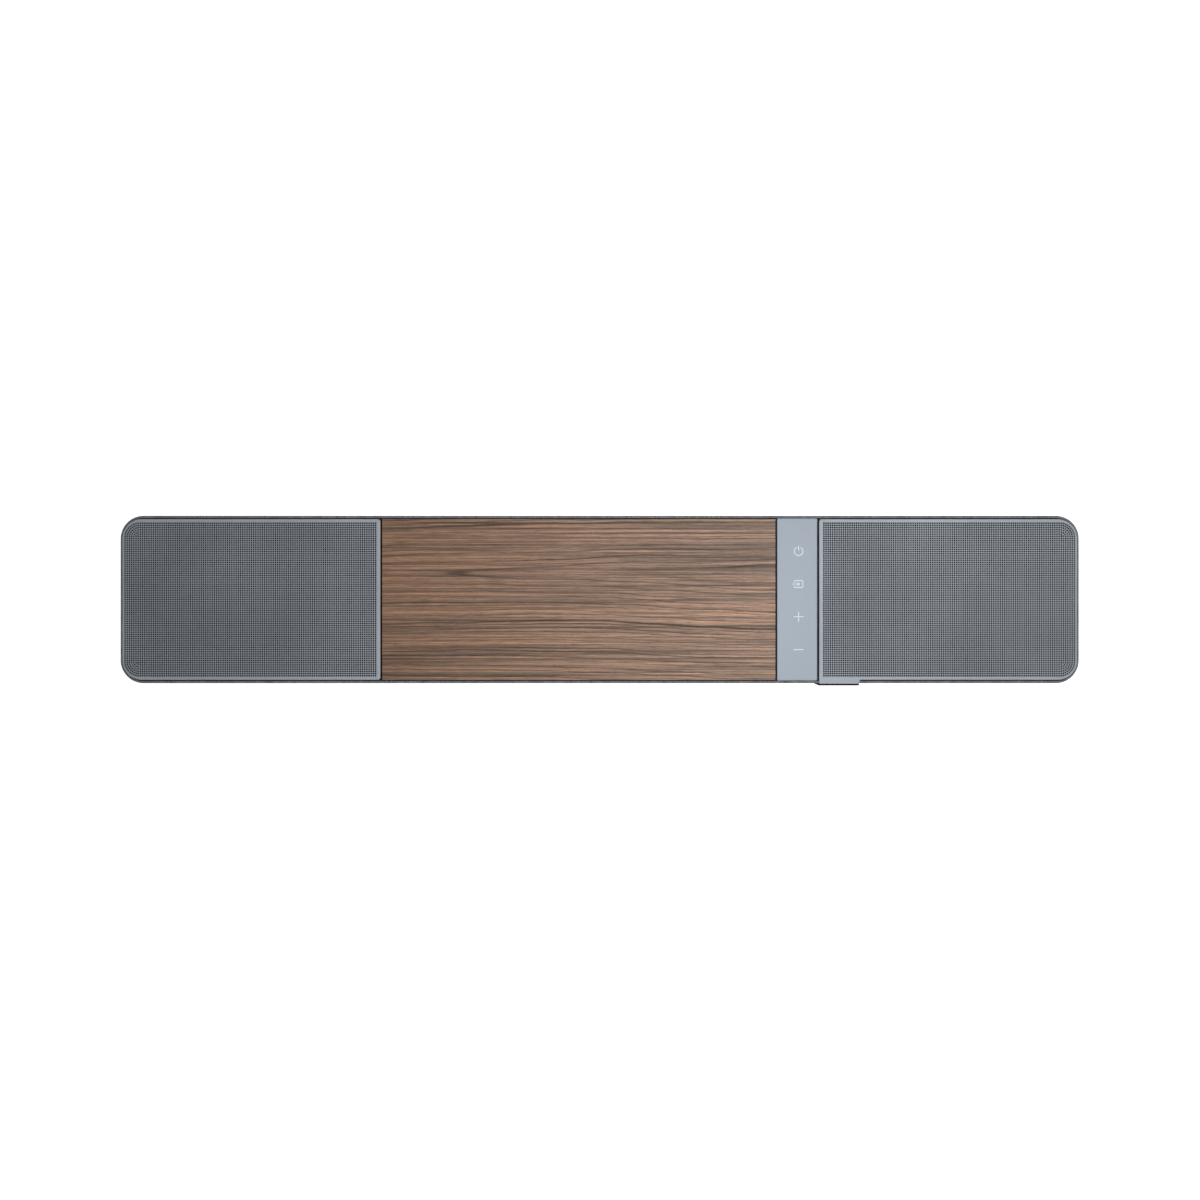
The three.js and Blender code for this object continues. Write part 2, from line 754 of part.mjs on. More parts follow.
function rearPanel() {
  const x = panelLength / 2;
  const z1 = zPanel + panelHeight;
  const body = block(-x, x, yBayFloor - bayFloor, yRear, zPanel, z1);
  const bay = block(-x + panelWall, x - panelWall, yBayFloor, yRear + 1, zPanel + panelWall, z1 - panelWall);
  const holes = Object.values(sockets).map((socket) =>
    socketBlock(socket, fitGap, yBayFloor - bayFloor - 1, yBayFloor + 1));
  return cut(body, bay, ...holes, ...panelScrewHoles(yBayFloor - bayFloor - 1, yBayFloor + 1));
}

add('rear_panel', rearPanel(), blackPlastic);
for (const [row, z] of [['lower', panelScrewZ[0]], ['upper', panelScrewZ[1]]]) {
  for (const [place, side] of [['left', -1], ['right', 1]]) {
    const mesh = add(`panel_screw_${row}_${place}`, screw(lugDepth), zincSteel);
    mesh.rotation.x = Math.PI / 2;
    mesh.position.set(side * panelScrewX, yBayFloor + fitGap, z);
  }
}

function powerInlet() {
  const socket = sockets.power;
  const z = zBoardTop + socket.height / 2;
  const floor = yBayFloor - socket.mouthDepth;
  const contacts = [-4.3, 4.3].map((x) => pin(socket.x + x, z, floor - 1, floor + 9, 1.2, 8));
  return join(cut(socketBlock(socket), socketMouth(socket)), ...contacts);
}

// A flat contact tongue, set back in the mouth.
function tonguedSocket(socket, width, thickness, setback) {
  const z = zBoardTop + socket.height / 2;
  const floor = yBayFloor - socket.mouthDepth;
  const tongue = block(
    socket.x - width / 2, socket.x + width / 2, floor - 1, yBayFloor - setback,
    z - thickness / 2, z + thickness / 2,
  );
  return join(cut(socketBlock(socket), socketMouth(socket)), tongue);
}

add('power_inlet', powerInlet(), blackPlastic);
add('av_socket', tonguedSocket(sockets.av, 11.5, 1, 5), zincSteel);
add('usb_socket', tonguedSocket(sockets.usb, 11, 1.6, 5), zincSteel);
add('optical_socket', cut(socketBlock(sockets.optical), socketMouth(sockets.optical)), blackPlastic);

function lineInJack() {
  const socket = sockets.line;
  const bore = pin(socket.x, zBoardTop + socket.height / 2, yBayFloor - 12, yBayFloor + 1, 1.8);
  return cut(socketBlock(socket), bore);
}

add('line_in_jack', lineInJack(), blackPlastic);

// The shutter hangs on a barrel inside the top of the optical socket's mouth and swings inward.
const shutterSheet = 0.8;
const shutterSet = 1; // hinge line behind the socket's face
const shutterDrop = 0.9; // hinge line below the mouth's ceiling

function opticalShutter() {
  const socket = sockets.optical;
  const x = socket.mouthWidth / 2 - 0.5;
  const z = zBoardTop + socket.height / 2;
  const hinge = z + socket.mouthHeight / 2 - shutterDrop;
  const y = yBayFloor - shutterSet;
  const low = z - socket.mouthHeight / 2 + 0.5;
  const flap = block(socket.x - x, socket.x + x, y - shutterSheet / 2, y + shutterSheet / 2, low, hinge);
  const barrel = solid(new THREE.CylinderGeometry(0.6, 0.6, 2 * x, 8).rotateZ(Math.PI / 2)
    .translate(socket.x, y, hinge));
  return join(flap, barrel);
}

add('optical_shutter', opticalShutter(), blackPlastic);

// ---------------------------------------------------------------- boards

function mainBoard() {
  const [x0, x1] = boards.main;
  return join(
    block(x0, x1, yBoardFront, yBoardRear, zBoard, zBoardTop),
    block(x0 + 12, x0 + 26, yBoardFront + 8, yBoardFront + 22, zBoardTop - 0.5, zBoardTop + 1.4),
    block(x1 - 40, x1 - 26, yBoardFront + 8, yBoardFront + 22, zBoardTop - 0.5, zBoardTop + 1.5),
    ...[0, 1, 2].map((i) =>
      post(x0 + 36, yBoardFront + 8 + 10 * i, zBoardTop - 0.5, zBoardTop + 12, 4)),
  );
}

function powerBoard() {
  const [x0, x1] = boards.power;
  return join(
    block(x0, x1, yBoardFront, yBoardRear, zBoard, zBoardTop),
    block(x1 - 32, x1 - 6, yBoardFront + 4, yBoardFront + 28, zBoardTop - 0.5, zBoardTop + 22),
    post(x0 + 14, yBoardFront + 12, zBoardTop - 0.5, zBoardTop + 26, 8),
    block(x1 - 24, x1 - 10, yBoardFront + 31, yBoardFront + 41, zBoardTop - 0.5, zBoardTop + 12),
  );
}

// Fins along Y on a flat foot that rests on the amplifier chip.
function heatSink() {
  const x1 = boards.main[1] - 16;
  const x0 = x1 - 34;
  const y0 = yBoardFront + 3;
  const y1 = y0 + 24;
  const z0 = zBoardTop + 1.5;
  const foot = block(x0, x1, y0, y1, z0, z0 + 3);
  const fins = [0, 1, 2, 3, 4, 5].map((i) => {
    const x = x0 + i * (x1 - x0 - 2) / 5;
    return block(x, x + 2, y0, y1, z0 + 1, z0 + 22);
  });
  return join(foot, ...fins);
}

add('main_board', mainBoard(), circuitBoard);
add('power_board', powerBoard(), circuitBoard);
add('heat_sink', heatSink(), aluminium);

export default soundbar;
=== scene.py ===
import math

import bmesh
import bpy
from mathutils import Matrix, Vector
from mathutils.geometry import delaunay_2d_cdt


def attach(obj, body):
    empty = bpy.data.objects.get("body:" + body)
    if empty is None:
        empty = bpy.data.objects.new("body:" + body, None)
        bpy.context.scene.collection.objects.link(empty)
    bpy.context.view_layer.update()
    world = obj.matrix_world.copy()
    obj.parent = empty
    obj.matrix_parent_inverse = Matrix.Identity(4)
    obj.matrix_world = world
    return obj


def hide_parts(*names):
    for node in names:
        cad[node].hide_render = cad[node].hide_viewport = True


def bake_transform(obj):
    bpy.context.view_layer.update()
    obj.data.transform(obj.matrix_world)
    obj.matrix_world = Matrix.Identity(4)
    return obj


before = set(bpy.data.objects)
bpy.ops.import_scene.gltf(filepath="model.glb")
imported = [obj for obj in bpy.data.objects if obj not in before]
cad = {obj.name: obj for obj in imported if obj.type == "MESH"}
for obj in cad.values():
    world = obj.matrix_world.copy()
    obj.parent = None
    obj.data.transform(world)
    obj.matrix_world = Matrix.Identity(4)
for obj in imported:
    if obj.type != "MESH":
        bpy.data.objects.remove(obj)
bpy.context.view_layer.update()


# The cabinet shell carries everything else: walls, woofer dividers and driver pads moulded in one
# piece of black ABS, with the top deck dropped in from above and the base plate screwed on below.
# Only their edges show, in the grooves between the panels and as a thin line under the cloth.


def linear(code, gain=1.0):
    """An sRGB hex colour as linear RGBA, made lighter or darker by a gain."""
    parts = [int(code[i:i + 2], 16) / 255 for i in (0, 2, 4)]
    return [gain * (c / 12.92 if c <= 0.04045 else ((c + 0.055) / 1.055) ** 2.4) for c in parts] + [1.0]


def add(tree, kind, inputs=None, **settings):
    """Adds one shader node, sets its properties, and fills its inputs with values or other nodes' links."""
    made = tree.nodes.new("ShaderNode" + kind)
    for name, value in settings.items():
        setattr(made, name, value)
    for key, value in (inputs or {}).items():
        if isinstance(value, bpy.types.NodeSocket):
            tree.links.new(value, made.inputs[key])
        else:
            made.inputs[key].default_value = value
    return made


def bare_finish(name, **constants):
    """A material whose shader has only its constants, and the tree that its pattern goes into."""
    material = bpy.data.materials.new(name)
    material.use_nodes = True
    tree = material.node_tree
    shader = tree.nodes["Principled BSDF"]
    for key, value in constants.items():
        shader.inputs[key.replace("_", " ")].default_value = value
    return material, tree, shader


def wear(material, *pieces):
    """Gives each piece this one material."""
    for piece in pieces:
        piece.data.materials.clear()
        piece.data.materials.append(material)


# A colour Mix node's own numbers for its sockets.
MIX_A, MIX_B, MIXED = 6, 7, 2


def dress(tree, shader, tone, rough, bump=None):
    """Joins a pattern's last colour, roughness and bump nodes to its shader."""
    tree.links.new(tone.outputs[MIXED], shader.inputs["Base Color"])
    tree.links.new(rough.outputs[0], shader.inputs["Roughness"])
    if bump:
        tree.links.new(bump.outputs[0], shader.inputs["Normal"])


def moulded_abs(name, colour, roughness, grit):
    """ABS from a spark-eroded tool: an even grit, in mm, that keeps its shine broken and soft."""
    material, tree, shader = bare_finish(name, IOR=1.54)
    place = add(tree, "TexCoord").outputs["Object"]
    grain = add(tree, "TexNoise", {"Vector": place, "Scale": 1000 / grit})
    cloud = add(tree, "TexNoise", {"Vector": place, "Scale": 20.0, "Detail": 3.0})
    tone = add(tree, "Mix", {"Factor": cloud.outputs["Fac"], MIX_A: linear(colour, 0.85),
               MIX_B: linear(colour, 1.2)}, data_type="RGBA")
    rough = add(tree, "MapRange", {"Value": grain.outputs["Fac"], "To Min": roughness - 0.1,
                "To Max": roughness + 0.1})
    bump = add(tree, "Bump", {"Height": grain.outputs["Fac"], "Strength": 0.35,
               "Distance": 0.00008})
    dress(tree, shader, tone, rough, bump)
    return material


black_abs = moulded_abs("moulded_black_abs", "1B1D20", 0.58, 0.6)
wear(black_abs, cad["cabinet_shell"], cad["top_deck"])


def plain_object(name, points, faces):
    """An object with a mesh from points in mm."""
    mesh = bpy.data.meshes.new(name)
    mesh.from_pydata([(x / 1000, y / 1000, z / 1000) for x, y, z in points], [], faces)
    made = bpy.data.objects.new(name, mesh)
    bpy.context.scene.collection.objects.link(made)
    return made


def make(name, points, faces, body):
    """A piece from points in mm. It rides a body, or none if no body is given."""
    piece = plain_object(name, points, faces)
    piece.data.validate()
    finish_mesh(piece)
    if body:
        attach(piece, body)
    return piece


def finish_mesh(piece, smooth=True, crease=32):
    """Welds a mesh, turns its faces outward, and smooths across every edge flatter than the crease."""
    shape = bmesh.new()
    shape.from_mesh(piece.data)
    bmesh.ops.remove_doubles(shape, verts=shape.verts, dist=1e-7)
    bmesh.ops.recalc_face_normals(shape, faces=shape.faces)
    for face in shape.faces:
        face.smooth = smooth
    for edge in shape.edges:
        flat = len(edge.link_faces) == 2 and edge.calc_face_angle(0) < math.radians(crease)
        edge.smooth = smooth and flat
    shape.to_mesh(piece.data)
    shape.free()


def lofted(rings, cap_ends=True):
    """Points and faces through rings that have one count of points, with its end rings filled."""
    count = len(rings[0])
    points = [p for ring in rings for p in ring]
    faces = []
    for r in range(len(rings) - 1):
        for i in range(count):
            j = (i + 1) % count
            faces.append((r * count + i, r * count + j, (r + 1) * count + j, (r + 1) * count + i))
    if cap_ends:
        faces.append(tuple(range(count))[::-1])
        faces.append(tuple(range((len(rings) - 1) * count, len(rings) * count)))
    return points, faces


def looped(rings):
    """Points and faces through rings whose last joins the first again, as in a tube or a sleeve."""
    count = len(rings[0])
    points, faces = lofted(rings, cap_ends=False)
    last = (len(rings) - 1) * count
    for i in range(count):
        j = (i + 1) % count
        faces.append((last + i, last + j, j, i))
    return points, faces


# The base plate is a flat ABS moulding with a small rounded edge, standing just inside the cloth.
# Six screws hold it up against the shell's bosses.
LENGTH, DEPTH, HEIGHT, CORNER = 711.2, 124.4, 78.0, 17.0
Y_MID = 0.835
Y_FRONT, Y_REAR = Y_MID - DEPTH / 2, Y_MID + DEPTH / 2
HARD_EDGE = 35


def eased(node, width, material, segments=2, body="cabinet"):
    """A node's shape again, with every hard edge rounded by a width in mm, in place of the node."""
    mesh = cad[node].data.copy()
    piece = bpy.data.objects.new(f"{node}_eased", mesh)
    bpy.context.scene.collection.objects.link(piece)
    shape = bmesh.new()
    shape.from_mesh(mesh)
    bmesh.ops.remove_doubles(shape, verts=shape.verts, dist=1e-6)
    bmesh.ops.dissolve_limit(shape, angle_limit=math.radians(0.5), verts=shape.verts, edges=shape.edges)
    hard = [edge for edge in shape.edges
            if len(edge.link_faces) == 2 and edge.calc_face_angle(0) > math.radians(HARD_EDGE)]
    bmesh.ops.bevel(shape, geom=hard, offset=width / 1000, offset_type="OFFSET", segments=segments,
                    profile=0.5, affect="EDGES", clamp_overlap=True)
    bmesh.ops.triangulate(shape, faces=[f for f in shape.faces if len(f.verts) > 4])
    shape.to_mesh(mesh)
    shape.free()
    finish_mesh(piece)
    wear(material, piece)
    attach(piece, body)
    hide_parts(node)
    return piece


eased("base_plate", 0.9, black_abs, segments=3)

# The four feet are discs of moulded black rubber with a shallow ring in the sole, each set into its
# own shallow pocket under the base plate.
def clouded(name, dark, light, scale, roughness, spread, grit=0.0, depth=0.0, detail=5.0, strength=0.5,
            grit_detail=2.0, **constants):
    """A finish of two close tones in soft clouds, with the roughness following them and a grit in mm."""
    material, tree, shader = bare_finish(name, **constants)
    place = add(tree, "TexCoord").outputs["Object"]
    cloud = add(tree, "TexNoise", {"Vector": place, "Scale": scale, "Detail": detail})
    tone = add(tree, "Mix", {"Factor": cloud.outputs["Fac"], MIX_A: linear(dark), MIX_B: linear(light)},
               data_type="RGBA")
    rough = add(tree, "MapRange", {"Value": cloud.outputs["Fac"], "To Min": roughness - spread,
                "To Max": roughness + spread})
    bump = None
    if grit:
        grain = add(tree, "TexNoise", {"Vector": place, "Scale": 1000 / grit, "Detail": grit_detail})
        bump = add(tree, "Bump", {"Height": grain.outputs["Fac"], "Strength": strength,
                   "Distance": depth / 1000})
    dress(tree, shader, tone, rough, bump)
    return material


# Moulded EPDM rubber: matt, with a fine stipple and a faint grey bloom.
foot_rubber = clouded("moulded_black_rubber", "17181A", "26272A", 60.0, 0.82, 0.1, 1 / 1.1, 0.1, detail=4.0,
                      strength=0.4, grit_detail=3.0, IOR=1.52)


def around(centre, axis, angle, radius, height):
    """A point at an angle, radius and height about an axis, z or y, through a centre."""
    u, v = radius * math.cos(angle), radius * math.sin(angle)
    step = (u, v, height) if axis == "z" else (u, height, v)
    return tuple(c + s for c, s in zip(centre, step))


def turned(name, profile, centre, body, axis="z", sides=64, cap=True):
    """A profile of (radius, height) turned about an axis through a centre, as one closed piece."""
    rings = [[around(centre, axis, 2 * math.pi * i / sides, *corner) for i in range(sides)]
             for corner in profile]
    points, faces = lofted(rings) if cap else looped(rings)
    return make(name, points, faces, body)


def fillet(radius, height, size, start, end, steps=5):
    """Points of a rounded edge in a profile, from one angle to another in degrees."""
    return [(radius + size * math.cos(math.radians(start + (end - start) * i / steps)),
             height + size * math.sin(math.radians(start + (end - start) * i / steps)))
            for i in range(steps + 1)]


FOOT_X, FOOT_Y, FOOT_RADIUS, FOOT_HEIGHT, FOOT_EDGE = 310.6, 42.2, 11.0, 3.25, 0.8
for row, y in (("front", -FOOT_Y), ("rear", FOOT_Y)):
    for end, x in (("left", -FOOT_X), ("right", FOOT_X)):
        profile = [(0.01, 0.5), (6.6, 0.5), (7.0, 0.1), (7.2, 0.0)]
        profile += fillet(FOOT_RADIUS - FOOT_EDGE, FOOT_EDGE, FOOT_EDGE, -90, 0)
        profile += [(FOOT_RADIUS, FOOT_HEIGHT), (0.01, FOOT_HEIGHT)]
        foot = turned(f"foot_{row}_{end}_rubber", profile, (x, Y_MID + y, 0), "cabinet")
        wear(foot_rubber, foot)
        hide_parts(f"foot_{row}_{end}")

# The screws are zinc-plated steel: six come up through the base plate, and four hold the rear panel.
# Bright zinc plate: a pale metal with small clouds of duller passivate.
zinc = clouded("zinc_plated_steel", "9A9EA3", "C3C6C8", 350.0, 0.35, 0.11, detail=4.0, Metallic=1.0)
wear(zinc, *[cad[n] for n in cad if "screw" in n])

# Inside, two 100 mm woofers face up and two small drivers face forward: pressed baskets, ferrite
# rings, copper coils and black paper cones on rubber surrounds. The end grilles let them be glimpsed.

# Pressed paper pulp with a thin lacquer: matt black with felted fibres about 1.5 mm long.
cone_paper = clouded("coated_paper_pulp", "1A1A1B", "2E2E30", 700.0, 0.8, 0.1, 1.5, 0.12)
# Sintered ferrite: dark grey, dull, with a ground sheen.
ferrite = clouded("sintered_ferrite", "26272A", "3B3C40", 300.0, 0.5, 0.1, 0.4, 0.03, Metallic=0.3)
# Enamelled copper wire: a warm metal under clear varnish.
copper = clouded("enamelled_copper", "9C5630", "C67F4E", 900.0, 0.3, 0.08, 0.3, 0.05, Metallic=1.0)
# Phenolic-dipped cotton: the stiff amber-brown cloth of a spider.
dipped_cotton = clouded("phenolic_cotton", "6B4A22", "8A6532", 1400.0, 0.85, 0.08, 0.5, 0.1)

for side in ("left", "right"):
    wear(black_abs, cad[f"{side}_woofer_basket"], cad[f"{side}_driver_basket"])
    wear(ferrite, cad[f"{side}_woofer_magnet"], cad[f"{side}_driver_magnet"])
    wear(cone_paper, cad[f"{side}_woofer_cone"], cad[f"{side}_woofer_dust_cap"], cad[f"{side}_driver_cone"])
    wear(copper, cad[f"{side}_woofer_voice_coil"])
    wear(dipped_cotton, cad[f"{side}_woofer_spider"])

# Each cone hangs on a moulded rubber half-roll. Its flange is glued to the basket, and the flat lip inside
# the roll is glued to the cone's rim and travels with it, so the roll is laid out in sectors, each along its
# own radius, that ride no body.
WOOFER_X, WOOFER_FACE = 258.05, 66.0
DRIVER_X, DRIVER_FACE, DRIVER_Z = 112.0, -50.965, 31.75
SECTORS, SECTOR_STEPS = 8, 8


def hang(side, unit, centre, forward, inner, size, edge, axis):
    """A rubber half-roll in mm, from the lip on the moving cone out to the flange on the fixed basket."""
    thick, lip, middle, half = 0.6, 1.1, inner + size, math.pi / SECTORS
    profile = [(edge, 0.0), (edge, thick)] + fillet(middle, thick / 2, size, 6, 174, 14)
    profile += [(inner - 0.2, 0.55), (inner - lip, 0.55), (inner - lip, 0.05), (inner + 0.4, 0.05)]
    profile += fillet(middle, thick / 2, size - thick, 174, 6, 12) + [(middle + size - thick, 0.0)]

    profile = [(radius, height * forward) for radius, height in profile]
    for number in range(SECTORS):
        first = 2 * half * number
        angles = [first + 2 * half * i / SECTOR_STEPS for i in range(SECTOR_STEPS + 1)]
        points, faces = lofted([[around(centre, axis, a, *corner) for corner in profile] for a in angles])
        roll = make(f"{side}_{unit}_roll_{number + 1}", points, faces, None)
        wear(foot_rubber, roll)
        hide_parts(f"{side}_{unit}_surround")
        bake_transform(roll)


for side, sign in (("left", -1), ("right", 1)):
    hang(side, "woofer", (sign * WOOFER_X, Y_MID, WOOFER_FACE), 1, 37.3, 3.3, 47.0, "z")
    hang(side, "driver", (sign * DRIVER_X, DRIVER_FACE, DRIVER_Z), -1, 14.8, 2.1, 20.7, "y")

# Behind the middle of the bar stand the two circuit boards, on posts of the base plate, with the
# amplifier's extruded heat sink. They are hidden, and are finished plainly.
solder_resist = clouded("green_solder_resist", "0F3A26", "1C5A3C", 500.0, 0.35, 0.1, 2.0, 0.05)
extruded = clouded("extruded_aluminium", "8E9296", "B4B8BB", 120.0, 0.4, 0.1, 0.5, 0.03, Metallic=1.0)
wear(solder_resist, cad["main_board"], cad["power_board"], cad["touch_board"], cad["display_board"])
wear(extruded, cad["heat_sink"])

# The rear panel is an ABS moulding let into the back wall, held by four screws at its corners. The
# mains inlet and the signal sockets stand in its bay, each flush with the bay's floor.
panel_abs = moulded_abs("spark_eroded_black_abs", "17191B", 0.62, 0.9)
socket_black = moulded_abs("moulded_black_nylon", "101113", 0.42, 0.5)
eased("rear_panel", 0.8, panel_abs, segments=3)
eased("power_inlet", 0.35, socket_black)
eased("optical_socket", 0.3, socket_black)
eased("line_in_jack", 0.3, socket_black)
eased("av_socket", 0.25, zinc)
eased("usb_socket", 0.25, zinc)
# The optical socket's spring shutter is a thin flap on its own small barrel, and swings inward.
eased("optical_shutter", 0.12, socket_black, body="shutter")

# Each bass port is a flared ABS tube pushed in from behind, with its trim ring flush with the cloth.
PORT_X, PORT_Z, PORT_BORE, PORT_TRIM, PORT_LENGTH = 183.3, 23.5, 11.0, 16.0, 28.0
PORT_WALL, FLARE = 2.0, 4.2
for side, x in (("left", -PORT_X), ("right", PORT_X)):
    flare = fillet(PORT_BORE + FLARE, -FLARE, FLARE, 180, 90, 10)
    profile = [(PORT_BORE + PORT_WALL, -PORT_LENGTH + 0.4), (PORT_BORE + PORT_WALL, -0.8), (PORT_TRIM, -0.8)]
    profile += fillet(PORT_TRIM - 0.4, -0.4, 0.4, 0, 90, 4)
    profile += flare[::-1] + [(PORT_BORE, -PORT_LENGTH + 0.4)]
    profile += fillet(PORT_BORE + 1, -PORT_LENGTH + 0.6, 0.6, 200, 340, 6)
    port = turned(f"{side}_bass_port_tube", profile, (x, Y_REAR, PORT_Z), "cabinet",
                  axis="y", cap=False)
    wear(panel_abs, port)
    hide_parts(f"{side}_bass_port")

# The cloth is a sleeve of heather-grey acoustic weave, stretched round the shell, turned over its
# rim and glued inside. It is cut out round the rear panel, the ports and the window's light neck.
CLOTH, CLOTH_FOOT, CLOTH_TOP = 0.8, 6.2, 76.7
HEM_END, HEM_SIDE = 1.2, 1.7
CORNER_STEPS, STRAIGHT_STEP = 14, 9.0


def bar_outline(end_inset, side_inset, z):
    """The bar's outline at one height, drawn in by one distance at its ends and another at its sides."""
    radius = CORNER - max(end_inset, side_inset)
    x, y = LENGTH / 2 - end_inset - radius, DEPTH / 2 - side_inset - radius
    ring = []
    corners = ((1, -1, -90), (1, 1, 0), (-1, 1, 90), (-1, -1, 180))
    for k, (sx, sy, start) in enumerate(corners):
        for i in range(CORNER_STEPS + 1):
            a = math.radians(start + 90 * i / CORNER_STEPS)
            ring.append((sx * x + radius * math.cos(a), Y_MID + sy * y + radius * math.sin(a), z))
        nx, ny, _ = corners[(k + 1) % 4]
        a = math.radians(corners[(k + 1) % 4][2])
        here = ring[-1]
        there = (nx * x + radius * math.cos(a), Y_MID + ny * y + radius * math.sin(a), z)
        # The straight is stepped by its full length, so that every ring has the same count.
        whole = (LENGTH if k in (1, 3) else DEPTH) - 2 * CORNER
        steps = round(whole / STRAIGHT_STEP)
        ring += [tuple(here[c] + (there[c] - here[c]) * i / steps for c in range(3)) for i in range(1, steps)]
    return ring


def cloth_rings():
    """Rings up the outside, over the rolled rim, down to the hem's edge and back down inside."""
    rows = []
    for z in [CLOTH_FOOT + 0.4] + [CLOTH_FOOT + 2 + 4.5 * i for i in range(15)]:
        rows.append((0.0, 0.0, z))
    for i in range(7):
        a = math.radians(90 * i / 6)
        rows.append((0.8 * (1 - math.cos(a)), 0.8 * (1 - math.cos(a)), CLOTH_TOP - 0.8 + 0.8 * math.sin(a)))
    rows += [(HEM_END - 0.1, HEM_SIDE - 0.1, CLOTH_TOP), (HEM_END, HEM_SIDE, CLOTH_TOP - 0.1),
             (HEM_END, HEM_SIDE, CLOTH_TOP - 0.7), (HEM_END - 0.1, HEM_SIDE - 0.1, CLOTH_TOP - CLOTH)]
    rows.append((CLOTH + 0.02, CLOTH + 0.02, CLOTH_TOP - CLOTH))
    for z in [CLOTH_TOP - 2.2] + [CLOTH_FOOT + 2 + 4.5 * i for i in range(14, -1, -1)] + [CLOTH_FOOT + 0.4]:
        rows.append((CLOTH, CLOTH, z))
    rows += [(CLOTH - 0.12, CLOTH - 0.12, CLOTH_FOOT + 0.1), (CLOTH / 2, CLOTH / 2, CLOTH_FOOT),
             (0.12, 0.12, CLOTH_FOOT + 0.1)]
    return rows


points, faces = looped([bar_outline(*row) for row in cloth_rings()])
cloth = make("cloth_sleeve", points, faces, "cabinet")

# The threads run round the bar and straight up it, so they are laid by arc length and height.
threads = cloth.data.uv_layers.new(name="threads")
straight = [LENGTH - 2 * CORNER, DEPTH - 2 * CORNER]
PERIMETER = 1642


def round_the_bar(x, y):
    """How far round the outline a point lies, in mm, from the front's left end."""
    y -= Y_MID
    half_x, half_y = straight[0] / 2, straight[1] / 2
    turn = math.pi / 2 * CORNER
    over_x, over_y = abs(x) - half_x, abs(y) - half_y
    if over_x > 0 and over_y > 0:
        a = math.atan2(over_x, over_y) if y * x < 0 else math.atan2(over_y, over_x)
        quarter = {(1, -1): 0, (1, 1): 1, (-1, 1): 2, (-1, -1): 3}[(1 if x > 0 else -1, 1 if y > 0 else -1)]
        before = (straight[0], straight[0] + turn + straight[1], 2 * straight[0] + 2 * turn + straight[1],
                  2 * straight[0] + 3 * turn + 2 * straight[1])[quarter]
        return before + a * CORNER
    if over_y > 0:
        return x + half_x if y < 0 else straight[0] * 1.5 + 2 * turn + straight[1] - x
    if x > 0:
        return straight[0] + turn + y + half_y
    return 2 * straight[0] + 3 * turn + straight[1] + half_y - y


for face in cloth.data.polygons:
    places = [cloth.data.vertices[v].co * 1000 for v in face.vertices]
    along = [round_the_bar(p.x, p.y) for p in places]
    # A face that crosses the seam carries on past the strip's end.
    if max(along) - min(along) > PERIMETER / 2:
        along = [a + PERIMETER if a < PERIMETER / 2 else a for a in along]
    for loop, p, a in zip(face.loop_indices, places, along):
        threads.data[loop].uv = (a / 1000, p.z / 1000)


def cut_away(piece, *tools):
    """Cuts closed shapes out of a piece, then throws them away."""
    for tool in tools:
        step = piece.modifiers.new("cut", "BOOLEAN")
        step.operation, step.solver, step.object = "DIFFERENCE", "EXACT", tool
    bpy.context.view_layer.update()
    result = bpy.data.meshes.new_from_object(piece.evaluated_get(bpy.context.evaluated_depsgraph_get()))
    piece.modifiers.clear()
    piece.data = result
    for tool in tools:
        bpy.data.objects.remove(tool)


def cutter(points, faces):
    """A closed shape in mm that is only used to cut with."""
    tool = plain_object("cutter", points, faces)
    finish_mesh(tool, smooth=False)
    return tool


def cutting_block(x0, x1, y0, y1, z0, z1):
    """A block between two corners, to cut with."""
    return cutter(*lofted([[(x0, y0, z), (x1, y0, z), (x1, y1, z), (x0, y1, z)] for z in (z0, z1)]))


def cutting_pin(x, z, y0, y1, radius, sides=64):
    """A round pin along Y, to cut with."""
    turns = [2 * math.pi * i / sides for i in range(sides)]
    return cutter(*lofted([[(x + radius * math.cos(a), y, z + radius * math.sin(a)) for a in turns]
                           for y in (y0, y1)]))


cut_away(cloth,
         cutting_block(-100.3, 100.3, Y_REAR - 3, Y_REAR + 2, 11.7, 46.3),
         cutting_block(168.45, 190.05, Y_FRONT - 2, Y_FRONT + 3, 36.7, 56.3),
         cutting_pin(-PORT_X, PORT_Z, Y_REAR - 3, Y_REAR + 2, PORT_TRIM + 0.3),
         cutting_pin(PORT_X, PORT_Z, Y_REAR - 3, Y_REAR + 2, PORT_TRIM + 0.3))
finish_mesh(cloth, crease=40)

weave, tree, shader = bare_finish("heather_polyester_weave", IOR=1.5, Sheen_Weight=0.25,
                                  Sheen_Roughness=0.5, Roughness=0.95)
# Plain-woven textured polyester: dark and light yarns are twisted together, so that it looks heathered
# and dull. The real yarn is 0.4 mm, and it is drawn at 0.9 mm so that it can be seen.
YARN = 0.9
uv = add(tree, "UVMap", uv_map="threads").outputs["UV"]
mm_uv = add(tree, "VectorMath", {0: uv, "Scale": 1000 / YARN}, operation="SCALE").outputs[0]
parts = add(tree, "SeparateXYZ", {0: mm_uv})
warp = add(tree, "Math", {0: parts.outputs[0], 1: math.pi}, operation="MULTIPLY")
weft = add(tree, "Math", {0: parts.outputs[1], 1: math.pi}, operation="MULTIPLY")
warp_wave = add(tree, "Math", {0: warp.outputs[0]}, operation="SINE")
weft_wave = add(tree, "Math", {0: weft.outputs[0]}, operation="SINE")
crossing = add(tree, "Math", {0: warp_wave.outputs[0], 1: weft_wave.outputs[0]},
               operation="MULTIPLY")
height = add(tree, "Math", {0: crossing.outputs[0]}, operation="ABSOLUTE")
